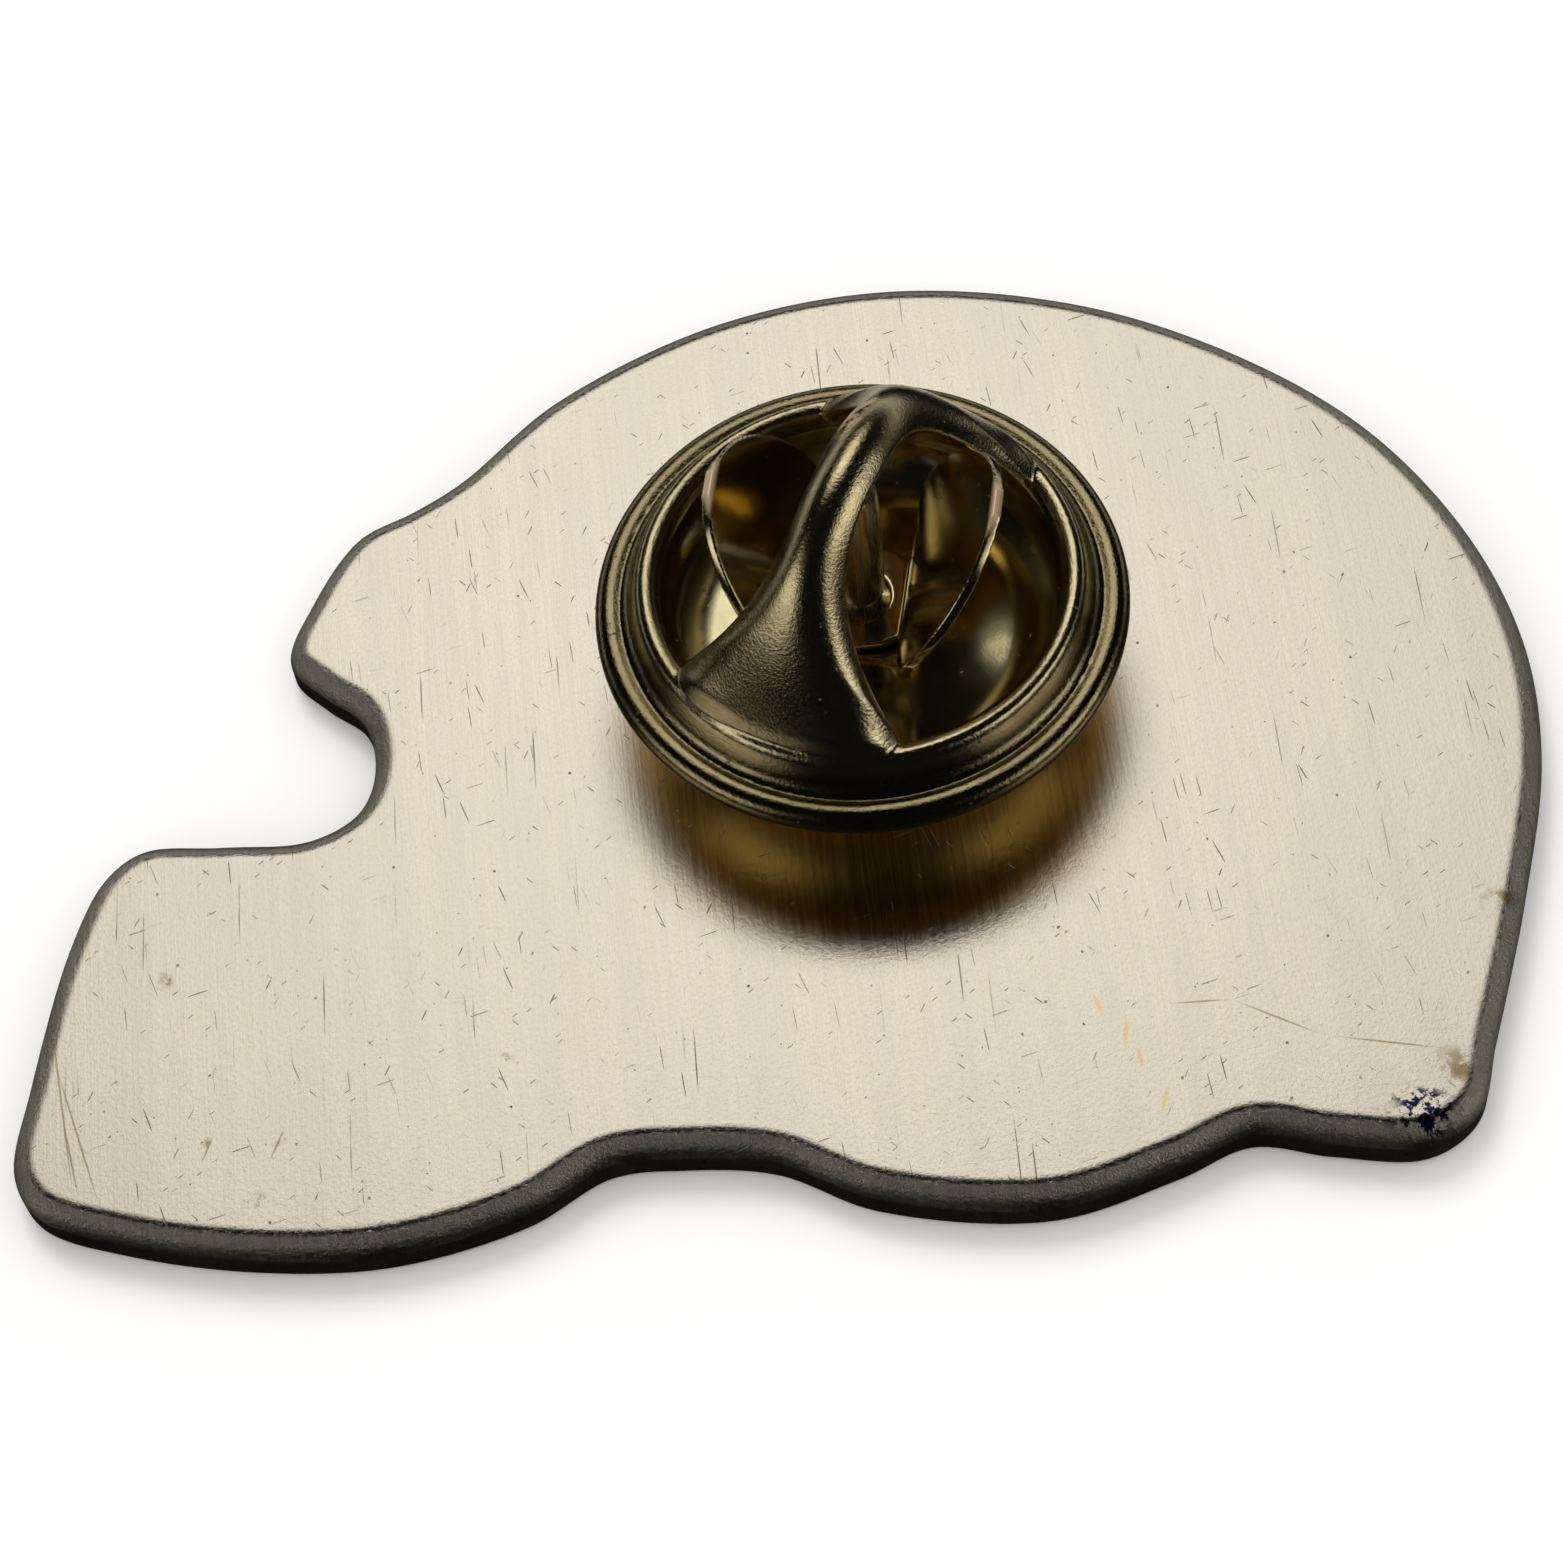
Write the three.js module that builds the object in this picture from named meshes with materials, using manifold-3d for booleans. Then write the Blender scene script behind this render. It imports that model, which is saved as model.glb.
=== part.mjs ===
// Enamel lapel pin with a butterfly clutch, modelled as it would come apart on a bench.
// Millimetres, +Z up. The pin lies face down: the enamelled front is at z = 0, the brushed back
// faces up, and the post and the clutch stand on the back. The origin is the centre of the
// outline's bounding box, on the front face. The helmet faces -X.
import * as THREE from "three";
import { mergeVertices } from "three/addons/utils/BufferGeometryUtils.js";
import Module from "manifold-3d";

const wasm = await Module();
wasm.setup();

// ---- Driving dimensions -------------------------------------------------------------------
const PLATE_THICKNESS = 1.2;
const PLATE_LENGTH = 33.5;
const PLATE_WIDTH = 24.0;
const BACK_ROUND = 0.28; // radius of the rolled-over edge on the back
const FRONT_ROUND = 0.16; // radius of the softer edge on the front
const OUTLINE_STEPS = 160;

const BORDER = 0.8; // metal rim left around the enamel
const CELL_DEPTH = 0.45; // depth of the struck recesses below the front face
const ENAMEL_SINK = 0.1; // the enamel lies this far below the metal lines
const FILL_GAP = 0.02; // between an enamel fill and the metal around it
const LINE_WIDTH = 0.42; // raised metal line between two colours
const BAR_WIDTH = 0.85; // raised metal bar of the face guard

const POST_X = 2.38;
const POST_Y = 1.29;
const POST_RADIUS = 0.55;
const POST_LENGTH = 7.3;
const POST_TAPER = 0.75; // length of the pointed end
const GROOVE_RADIUS = 0.45;
const GROOVE_LOW = 2.05;
const GROOVE_HIGH = 3.05;
const FILLET_RADIUS = 1.05;
const FILLET_HEIGHT = 0.38;
const RUNNING_GAP = 0.03;

// Heights of the clutch are measured from the back face of the plate.
const SHEET = 0.22; // stamped brass sheet
const BEAD_RADIUS = 5.4; // centre circle of the curled rim
const BEAD_TUBE = 0.35;
const BEAD_HEIGHT = 2.6;
const CUP_FLOOR = 1.25;
const CUP_HOLE = 0.72;
const RING_TOP = 3.7; // crest of the rolled lip around the two openings
const LIP_INNER = 4.28;
const ROUND_STEPS = 48;

const ARCH_ANGLE = 31; // degrees from +Y towards +X, the way the arch runs
const ARCH_RISE = 4.27; // crest of the arch above the ring
const ARCH_HALF_SPAN = 4.68;
const ARCH_POWER = 2.42;
const ARCH_EDGE_RISE = 3.8; // crest of the arch's side edges above the ring
const ARCH_EDGE_HALF_SPAN = 3.5;
const ARCH_EDGE_POWER = 2.7;
const ARCH_WAIST = 0.66; // half width at the crest
const ARCH_FOOT = 2.5; // half width where the side edges meet the ring
const ARCH_FLARE_POWER = 4.7;
const ARCH_SHEET = 0.28;

const WING_ANGLE = 14; // degrees from +Y towards +X, the way the wings' faces run
const WING_KNEE = 1.25; // from the post's axis to the upright part of a wing
const WING_HALF_WIDTH = 2.55;
const WING_BASE = 4.0; // height where the rounded tab begins
const WING_HEIGHT = 2.5; // of the tab above its base
const WING_BEND_START = 3.4; // height where a wing begins to lean outward
const WING_BEND = 0.45; // the larger it is, the softer the bend
const WING_LEAN = 0.69; // outward for each unit of height above the bend
const FOOT_HALF_WIDTH = 1.6;
const FOOT_TAIL = 0.95; // the foot's bar beyond the post, from the post's axis
const PRESS_TRAVEL = 0.4;
const PRESS_GAP = 0.05; // between the post and the slot of a wing pressed all the way
const LOW_FOOT = 2.3;
const HIGH_FOOT = 2.62;

// ---- Materials ----------------------------------------------------------------------------
const metal = (color, roughness) => new THREE.MeshStandardMaterial({ color, roughness, metalness: 1 });
const paint = (color) => new THREE.MeshStandardMaterial({ color, roughness: 0.25, metalness: 0 });
const plateMetal = () => metal(0xd9d0b8, 0.38);
const clutchMetal = () => metal(0x9a8a5c, 0.3);
const postMetal = () => metal(0xb9ab82, 0.35);
const solderMetal = () => metal(0xaaa79c, 0.45);
const navy = () => paint(0x14213d);
const white = () => paint(0xe9e7df);
const dark = () => paint(0x1b1c1f);
const grey = () => paint(0x8f959c);

// ---- Solids -------------------------------------------------------------------------------
function toSolid(geometry) {
  const bare = geometry.index ? geometry.toNonIndexed() : geometry.clone();
  const position = new THREE.BufferGeometry().setAttribute("position", bare.getAttribute("position"));
  const merged = mergeVertices(position, 1e-4);
  return new wasm.Manifold(
    new wasm.Mesh({
      numProp: 3,
      vertProperties: merged.attributes.position.array,
      triVerts: new Uint32Array(merged.index.array),
    }),
  );
}

function toGeometry(solid) {
  const mesh = solid.getMesh();
  const points = new Float32Array(mesh.numVert * 3);
  for (let i = 0; i < mesh.numVert; i++) {
    const from = i * mesh.numProp;
    points.set(mesh.vertProperties.subarray(from, from + 3), i * 3);
  }
  const geometry = new THREE.BufferGeometry();
  geometry.setAttribute("position", new THREE.BufferAttribute(points, 3));
  geometry.setIndex(new THREE.BufferAttribute(new Uint32Array(mesh.triVerts), 1));
  geometry.computeVertexNormals();
  return geometry;
}

function named(name, geometry, material) {
  const mesh = new THREE.Mesh(geometry, material);
  mesh.name = name;
  return mesh;
}

// A straight-sided solid over a closed loop of points, with optional holes.
function prism(loop, low, high, holes = []) {
  const shape = new THREE.Shape(loop);
  shape.holes = holes.map((hole) => new THREE.Path(hole));
  const solid = new THREE.ExtrudeGeometry(shape, { depth: high - low, bevelEnabled: false, steps: 1 });
  return toSolid(solid.translate(0, 0, low));
}

function circleLoop(x, y, radius, steps) {
  const loop = [];
  for (let i = 0; i < steps; i++) {
    const angle = (2 * Math.PI * i) / steps;
    loop.push(new THREE.Vector2(x + radius * Math.cos(angle), y + radius * Math.sin(angle)));
  }
  return loop;
}

// A flat bar of constant width along an open path.
function strip(path, width, low, high) {
  const left = [];
  const right = [];
  path.forEach((point, i) => {
    const before = path[Math.max(i - 1, 0)];
    const after = path[Math.min(i + 1, path.length - 1)];
    const along = after.clone().sub(before).normalize();
    const across = new THREE.Vector2(-along.y, along.x).multiplyScalar(width / 2);
    left.push(point.clone().add(across));
    right.unshift(point.clone().sub(across));
  });
  return prism(right.concat(left), low, high);
}

// A thin curved sheet: pointAt(u, v) is its outer surface for u and v from 0 to 1.
function sheetSolid(pointAt, thickness, stepsU, stepsV) {
  const delta = 1e-3;
  const outer = [];
  const inner = [];
  for (let j = 0; j <= stepsV; j++) {
    for (let i = 0; i <= stepsU; i++) {
      const u = i / stepsU;
      const v = j / stepsV;
      const alongU = pointAt(Math.min(u + delta, 1), v).sub(pointAt(Math.max(u - delta, 0), v));
      const alongV = pointAt(u, Math.min(v + delta, 1)).sub(pointAt(u, Math.max(v - delta, 0)));
      const normal = alongU.cross(alongV).normalize();
      const point = pointAt(u, v);
      outer.push(point);
      inner.push(point.clone().addScaledVector(normal, -thickness));
    }
  }
  const points = outer.concat(inner).flatMap((p) => [p.x, p.y, p.z]);
  const row = stepsU + 1;
  const under = outer.length;
  const faces = [];
  const quad = (a, b, c, d) => faces.push(a, b, c, a, c, d);
  for (let j = 0; j < stepsV; j++) {
    for (let i = 0; i < stepsU; i++) {
      const a = j * row + i;
      quad(a, a + 1, a + 1 + row, a + row);
      quad(under + a, under + a + row, under + a + 1 + row, under + a + 1);
    }
  }
  for (let i = 0; i < stepsU; i++) {
    const last = stepsV * row + i;
    quad(i, under + i, under + i + 1, i + 1);
    quad(last, last + 1, under + last + 1, under + last);
  }
  for (let j = 0; j < stepsV; j++) {
    const start = j * row;
    const end = start + stepsU;
    quad(start, start + row, under + start + row, under + start);
    quad(end, under + end, under + end + row, end + row);
  }
  const geometry = new THREE.BufferGeometry();
  geometry.setAttribute("position", new THREE.Float32BufferAttribute(points, 3));
  geometry.setIndex(faces);
  return toSolid(geometry);
}

// A round solid from a closed half profile of [radius, height] pairs.
function turned(profile, steps = ROUND_STEPS) {
  const points = profile.map(([radius, height]) => new THREE.Vector2(radius, height));
  points.push(points[0].clone());
  return toSolid(new THREE.LatheGeometry(points, steps).rotateX(Math.PI / 2));
}

function arc(centreRadius, centreHeight, radius, fromDegrees, toDegrees, steps) {
  const points = [];
  for (let i = 0; i <= steps; i++) {
    const angle = THREE.MathUtils.degToRad(fromDegrees + ((toDegrees - fromDegrees) * i) / steps);
    points.push([centreRadius + radius * Math.cos(angle), centreHeight + radius * Math.sin(angle)]);
  }
  return points;
}

// ---- Outline ------------------------------------------------------------------------------
function splineLoop(pairs, steps) {
  const knots = pairs.map(([x, y]) => new THREE.Vector3(x, y, 0));
  const curve = new THREE.CatmullRomCurve3(knots, true, "centripetal");
  return curve.getSpacedPoints(steps).slice(0, steps).map((p) => new THREE.Vector2(p.x, p.y));
}

function splinePath(pairs, steps) {
  const knots = pairs.map(([x, y]) => new THREE.Vector3(x, y, 0));
  const curve = new THREE.CatmullRomCurve3(knots, false, "centripetal");
  return curve.getSpacedPoints(steps).map((p) => new THREE.Vector2(p.x, p.y));
}

// Helmet silhouette, counter-clockwise seen from the back, starting at the top of the dome.
const HELMET_OUTLINE = [
  [4.3, 12.0], [0.1, 11.7], [-3.9, 10.02], [-6.3, 8.05], [-7.4, 7.42], [-8.75, 6.8], [-9.9, 5.15],
  [-10.45, 3.7], [-9.75, 2.75], [-8.9, 1.9], [-8.7, 0.6], [-9.12, -0.5], [-10.2, -1.05],
  [-12.1, -0.92], [-13.85, -0.78], [-14.72, -1.35], [-15.5, -2.9], [-16.42, -6.3], [-16.77, -8.2],
  [-16.3, -9.2], [-14.5, -10.08], [-11.7, -10.85], [-9.0, -11.1], [-6.2, -10.6], [-4.4, -9.75],
  [-2.9, -9.78], [-1.0, -10.15], [1.0, -11.28], [4.5, -12.0], [7.2, -11.45], [8.8, -10.95],
  [10.4, -11.4], [12.3, -11.72], [13.45, -11.1], [14.1, -9.6], [15.4, -6.4], [16.5, -3.0],
  [16.75, 0.0], [16.1, 3.1], [14.5, 6.2], [12.0, 8.75], [8.6, 10.85],
];

function helmetOutline() {
  const loop = splineLoop(HELMET_OUTLINE, OUTLINE_STEPS);
  const box = new THREE.Box2().setFromPoints(loop);
  const middle = box.getCenter(new THREE.Vector2());
  const size = box.getSize(new THREE.Vector2());
  const scale = new THREE.Vector2(PLATE_LENGTH / size.x, PLATE_WIDTH / size.y);
  return loop.map((p) => p.sub(middle).multiply(scale));
}

function pushedIn(loop, distance) {
  return loop.map((point, i) => {
    const before = loop[(i + loop.length - 1) % loop.length];
    const after = loop[(i + 1) % loop.length];
    const along = after.clone().sub(before).normalize();
    return new THREE.Vector2(point.x - along.y * distance, point.y + along.x * distance);
  });
}

// The same, for a distance larger than the tightest corners: points that land too near are left out.
function insetLoop(loop, distance) {
  const slack = 0.03;
  const near = (point) => Math.min(...loop.map((other) => other.distanceTo(point)));
  return pushedIn(loop, distance).filter((point) => near(point) > distance - slack);
}

// Stacks copies of the outline, each pushed in by its inset, and closes both ends.
function roundedPlate(loop, layers) {
  const rings = layers.map(([inset, height]) =>
    pushedIn(loop, inset).map((p) => new THREE.Vector3(p.x, p.y, height)),
  );
  const count = loop.length;
  const points = rings.flat().flatMap((p) => [p.x, p.y, p.z]);
  const faces = [];
  for (let ring = 0; ring < rings.length - 1; ring++) {
    for (let i = 0; i < count; i++) {
      const a = ring * count + i;
      const b = ring * count + ((i + 1) % count);
      faces.push(a, b, b + count, a, b + count, a + count);
    }
  }
  const cap = (ring, turnOver) => {
    const flat = rings[ring].map((p) => new THREE.Vector2(p.x, p.y));
    for (const [a, b, c] of THREE.ShapeUtils.triangulateShape(flat, [])) {
      const start = ring * count;
      if (turnOver) faces.push(start + a, start + c, start + b);
      else faces.push(start + a, start + b, start + c);
    }
  };
  cap(0, true);
  cap(rings.length - 1, false);
  const geometry = new THREE.BufferGeometry();
  geometry.setAttribute("position", new THREE.Float32BufferAttribute(points, 3));
  geometry.setIndex(faces);
  return toSolid(geometry);
}

// Quarter-round layers: inset and height of each copy of the outline.
function plateLayers() {
  const layers = [];
  const steps = 2;
  for (let i = 0; i <= steps; i++) {
    const angle = (Math.PI / 2) * (i / steps);
    layers.push([FRONT_ROUND * (1 - Math.sin(angle)), FRONT_ROUND * (1 - Math.cos(angle))]);
  }
  for (let i = 0; i <= steps; i++) {
    const angle = (Math.PI / 2) * (i / steps);
    layers.push([
      BACK_ROUND * (1 - Math.cos(angle)),
      PLATE_THICKNESS - BACK_ROUND * (1 - Math.sin(angle)),
    ]);
  }
  return layers;
}

// ---- Front design -------------------------------------------------------------------------
const STRIPE_CENTRE = [3.5, -3.0];
const STRIPE_OUTER = 12.2;
const STRIPE_INNER = 10.4;
const STRIPE_FROM = 168; // degrees, at the brow
const STRIPE_TO = -64; // degrees, at the nape
const EAR_CENTRE = [2.6, -5.2];
const EAR_RADIUS = 1.75;

const FACE_EDGE = [[-9.6, 1.5], [-7.4, 0.9], [-5.3, -0.9], [-4.2, -3.6], [-4.2, -6.6], [-4.6, -10.4]];
const GUARD_BARS = [
  [[-16.6, -4.3], [-10.4, -4.2], [-4.0, -4.6]],
  [[-17.4, -7.5], [-10.4, -7.45], [-4.0, -7.7]],
  [[-12.2, -0.3], [-12.7, -5.8], [-12.9, -11.4]],
  [[-8.3, 0.2], [-8.6, -5.6], [-8.8, -11.7]],
];

function stripeArc(radius) {
  const path = [];
  const steps = 44;
  for (let i = 0; i <= steps; i++) {
    const angle = THREE.MathUtils.degToRad(STRIPE_FROM + ((STRIPE_TO - STRIPE_FROM) * i) / steps);
    const [x, y] = STRIPE_CENTRE;
    path.push(new THREE.Vector2(x + radius * Math.cos(angle), y + radius * Math.sin(angle)));
  }
  return path;
}

// Everything that stands up between the enamel cells, grown by extra on each side.
function metalLines(extra, low, high) {
  const line = LINE_WIDTH + 2 * extra;
  const bar = BAR_WIDTH + 2 * extra;
  const faceEdge = strip(splinePath(FACE_EDGE, 20), line, low, high);
  const [earX, earY] = EAR_CENTRE;
  const earSteps = 32;
  const earRing = prism(circleLoop(earX, earY, EAR_RADIUS + line / 2, earSteps), low, high, [
    circleLoop(earX, earY, EAR_RADIUS - line / 2, earSteps),
  ]);
  const faceCorners = [[-5, -14], [-20, -14], [-20, 3]];
  let lines = faceEdge.add(earRing);
  // The stripe and the guard's bars meet at the edge of the face opening.
  const faceSide = splinePath(FACE_EDGE, 20).concat(faceCorners.map(([x, y]) => new THREE.Vector2(x, y)));
  const guardArea = prism(faceSide, low - 1, high + 1);
  for (const radius of [STRIPE_OUTER, STRIPE_INNER]) {
    lines = lines.add(strip(stripeArc(radius), line, low, high).subtract(guardArea));
  }
  for (const bars of GUARD_BARS) {
    lines = lines.add(strip(splinePath(bars, 8), bar, low, high).intersect(guardArea));
  }
  return lines;
}

// Which fill a cell is, from a point inside it.
function fillName(x, y) {
  const column = x < -12.6 ? "front" : x < -8.5 ? "middle" : "rear";
  const row = y > -4.4 ? "upper" : y > -7.6 ? "centre" : "lower";
  return `guard_window_${row}_${column}`;
}

function contains(solid, x, y) {
  const probe = prism(circleLoop(x, y, 0.05, 6), ENAMEL_SINK, CELL_DEPTH);
  return solid.intersect(probe).volume() > 0;
}

const outline = helmetOutline();
const innerOutline = insetLoop(outline, BORDER);

function struckBody() {
  const below = -1;
  const recess = prism(innerOutline, below, CELL_DEPTH).subtract(metalLines(0, below - 1, CELL_DEPTH + 1));
  return roundedPlate(outline, plateLayers()).subtract(recess);
}

function enamelFills() {
  const field = prism(insetLoop(outline, BORDER + FILL_GAP), ENAMEL_SINK, CELL_DEPTH - FILL_GAP);
  const cells = field.subtract(metalLines(FILL_GAP, -1, 2)).decompose();
  const [stripeX, stripeY] = STRIPE_CENTRE;
  const [earX, earY] = EAR_CENTRE;
  const stripeMiddle = (STRIPE_OUTER + STRIPE_INNER) / 2;
  const known = [
    ["shell_enamel_outer", stripeX, stripeY + STRIPE_OUTER + 1.2, navy],
    ["stripe_enamel", stripeX, stripeY + stripeMiddle, white],
    ["shell_enamel_inner", stripeX, stripeY + STRIPE_INNER - 1.2, navy],
    ["ear_hole_enamel", earX, earY, dark],
  ];
  const fills = [];
  const smallest = 0.25; // cubic millimetres: slivers cut off by a line stay bare metal
  for (const cell of cells) {
    if (cell.volume() < smallest) continue;
    const match = known.find(([, x, y]) => contains(cell, x, y));
    const { min, max } = cell.boundingBox();
    const name = match ? match[0] : fillName((min[0] + max[0]) / 2, (min[1] + max[1]) / 2);
    fills.push(named(name, toGeometry(cell), match ? match[3]() : grey()));
  }
  return fills;
}

// ---- Post ---------------------------------------------------------------------------------
function post() {
  const shoulder = POST_LENGTH - POST_TAPER;
  const slope = 0.12;
  const tipRadius = 0.08;
  return turned(
    [
      [0, 0],
      [POST_RADIUS, 0],
      [POST_RADIUS, GROOVE_LOW - slope],
      [GROOVE_RADIUS, GROOVE_LOW],
      [GROOVE_RADIUS, GROOVE_HIGH],
      [POST_RADIUS, GROOVE_HIGH + slope],
      [POST_RADIUS, shoulder],
      [POST_RADIUS * 0.72, shoulder + POST_TAPER * 0.45],
      [POST_RADIUS * 0.4, shoulder + POST_TAPER * 0.8],
      [tipRadius, POST_LENGTH],
      [0, POST_LENGTH],
    ],
    24,
  );
}

function solderFillet() {
  const inner = POST_RADIUS + RUNNING_GAP;
  return turned(
    [
      [inner, 0],
      [FILLET_RADIUS, 0],
      [FILLET_RADIUS, 0.05],
      [FILLET_RADIUS - 0.2, 0.12],
      [inner + 0.14, FILLET_HEIGHT - 0.12],
      [inner + 0.04, FILLET_HEIGHT],
      [inner, FILLET_HEIGHT],
    ],
    32,
  );
}

// ---- Clutch -------------------------------------------------------------------------------
const FLANGE_LOW = BEAD_HEIGHT - SHEET / 2;
const FLANGE_HIGH = BEAD_HEIGHT + SHEET / 2;
const FLANGE_RADIUS = BEAD_RADIUS + 0.05;

function clutchCup() {
  return turned([
    [CUP_HOLE, CUP_FLOOR],
    [3.1, CUP_FLOOR],
    [3.7, CUP_FLOOR + 0.12],
    [4.25, CUP_FLOOR + 0.42],
    [4.65, CUP_FLOOR + 0.85],
    [4.8, FLANGE_LOW - 0.12],
    [4.88, FLANGE_LOW],
    [FLANGE_RADIUS, FLANGE_LOW],
    [FLANGE_RADIUS, FLANGE_HIGH],
    [4.78, FLANGE_HIGH],
    [4.62, FLANGE_LOW],
    [4.45, CUP_FLOOR + 0.95],
    [4.1, CUP_FLOOR + 0.58],
    [3.6, CUP_FLOOR + 0.32],
    [3.05, CUP_FLOOR + SHEET],
    [CUP_HOLE, CUP_FLOOR + SHEET],
  ]);
}

// Curled rim, flat annulus and the rolled lip around the openings.
function capRing() {
  const channelLow = FLANGE_LOW - 0.05;
  const channelHigh = FLANGE_HIGH + 0.05;
  const channelRadius = FLANGE_RADIUS + 0.08;
  const lipInner = 5.02;
  return turned([
    [lipInner, channelLow],
    [lipInner, BEAD_HEIGHT - 0.3],
    ...arc(BEAD_RADIUS, BEAD_HEIGHT, BEAD_TUBE, -110, 100, 8),
    [5.2, 2.88],
    [5.04, 2.9],
    [4.97, 3.1],
    [4.9, 3.42],
    [4.8, 3.62],
    [4.66, RING_TOP],
    [4.5, RING_TOP - 0.03],
    [4.36, RING_TOP - 0.13],
    [LIP_INNER, RING_TOP - 0.3],
    [LIP_INNER, RING_TOP - 0.55],
    [LIP_INNER + 0.18, RING_TOP - 0.55],
    [LIP_INNER + 0.24, RING_TOP - 0.32],
    [4.62, RING_TOP - 0.24],
    [4.7, 3.3],
    [4.76, 2.95],
    [4.86, channelHigh],
    [channelRadius, channelHigh],
    [channelRadius, channelLow],
  ]);
}

// The arch over the post: u runs across it and v along it. Its middle runs down the outside of
// the lip, and its side edges end on the lip's crest.
function archPoint(u, v) {
  const side = 2 * u - 1;
  const endRadius = 5.0 - 0.27 * side ** 2;
  const along = (2 * v - 1) * Math.sqrt(endRadius ** 2 - (side * ARCH_FOOT) ** 2);
  const span = Math.abs(along) / ARCH_HALF_SPAN;
  const edgeSpan = Math.min(Math.abs(along) / ARCH_EDGE_HALF_SPAN, 1);
  const halfWidth = ARCH_WAIST + (ARCH_FOOT - ARCH_WAIST) * edgeSpan ** ARCH_FLARE_POWER;
  const middle = ARCH_RISE * (1 - span ** ARCH_POWER);
  const edge = ARCH_EDGE_RISE * (1 - edgeSpan ** ARCH_EDGE_POWER);
  const sag = 0.06; // keeps the feet just inside the ring's crest
  const height = RING_TOP - sag + middle + (edge - middle) * side ** 2;
  return new THREE.Vector3(side * halfWidth, along, height);
}

function clutchCap() {
  const arch = sheetSolid(archPoint, ARCH_SHEET, 8, 36);
  return capRing().add(arch);
}

// A wing leaf in its own frame: +X points outward through its opening, +Y along the arch.
function wingLeaf(footHeight, hasWindow) {
  const top = WING_BASE + WING_HEIGHT;
  const wingPoint = (u, v) => {
    const height = footHeight + SHEET * 0.5 + (top - footHeight - SHEET * 0.5) * v;
    const widening = Math.min((height - footHeight) / (WING_BASE - footHeight), 1) ** 0.7;
    const stem = FOOT_HALF_WIDTH + (WING_HALF_WIDTH - FOOT_HALF_WIDTH) * widening;
    const tipShare = Math.min(Math.max(height - WING_BASE, 0) / WING_HEIGHT, 0.992);
    const across = (2 * u - 1) * stem * Math.sqrt(1 - tipShare ** 2);
    const rise = Math.max(height - WING_BEND_START, 0);
    const lean = (WING_LEAN * rise ** 2) / (rise + WING_BEND);
    return new THREE.Vector3(WING_KNEE + lean, across, height);
  };
  const tab = sheetSolid(wingPoint, SHEET, 10, 22);
  const slotIn = -(GROOVE_RADIUS + 0.17);
  const slotOut = POST_RADIUS + PRESS_TRAVEL + PRESS_GAP;
  const slotHalf = POST_RADIUS + 0.1;
  const foot = [
    [-FOOT_TAIL, -1.0],
    [-FOOT_TAIL + 0.35, -1.2],
    [WING_KNEE, -FOOT_HALF_WIDTH],
    [WING_KNEE, FOOT_HALF_WIDTH],
    [-FOOT_TAIL + 0.35, 1.2],
    [-FOOT_TAIL, 1.0],
  ].map(([x, y]) => new THREE.Vector2(x, y));
  const slot = new THREE.Path();
  slot.absarc(slotOut - slotHalf, 0, slotHalf, -Math.PI / 2, Math.PI / 2, false);
  slot.absarc(slotIn + slotHalf, 0, slotHalf, Math.PI / 2, (3 * Math.PI) / 2, false);
  const slotLoop = slot.getPoints(10).slice(0, -1);
  let leaf = tab.add(prism(foot, footHeight, footHeight + SHEET, [slotLoop]));
  if (hasWindow) {
    const low = HIGH_FOOT - 0.06;
    const high = HIGH_FOOT + SHEET + 0.08;
    const half = 1.3;
    const window = [
      [0.6, -half],
      [1.9, -half],
      [1.9, half],
      [0.6, half],
    ].map(([x, y]) => new THREE.Vector2(x, y));
    leaf = leaf.subtract(prism(window, low, high));
  }
  return leaf;
}

// ---- Assembly -----------------------------------------------------------------------------
const pin = new THREE.Group();
pin.add(named("struck_body", toGeometry(struckBody()), plateMetal()));
for (const fill of enamelFills()) pin.add(fill);

const onBack = new THREE.Group();
onBack.position.set(POST_X, POST_Y, PLATE_THICKNESS);
onBack.add(named("post", toGeometry(post()), postMetal()));
onBack.add(named("solder_fillet", toGeometry(solderFillet()), solderMetal()));
onBack.add(named("clutch_cup", toGeometry(clutchCup()), clutchMetal()));
pin.add(onBack);

const cap = named("clutch_cap", toGeometry(clutchCap()), clutchMetal());
cap.rotation.z = -THREE.MathUtils.degToRad(ARCH_ANGLE);
onBack.add(cap);
const rightWing = named("wing_leaf_right", toGeometry(wingLeaf(LOW_FOOT, true)), clutchMetal());
rightWing.rotation.z = -THREE.MathUtils.degToRad(WING_ANGLE);
onBack.add(rightWing);
const leftWing = named("wing_leaf_left", toGeometry(wingLeaf(HIGH_FOOT, false)), clutchMetal());
leftWing.rotation.z = Math.PI - THREE.MathUtils.degToRad(WING_ANGLE);
onBack.add(leftWing);

export default pin;
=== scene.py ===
"""Looks of the enamel pin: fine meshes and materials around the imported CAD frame."""
import math

import bmesh
import bpy
import numpy as np
from mathutils import Matrix, Vector


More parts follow.
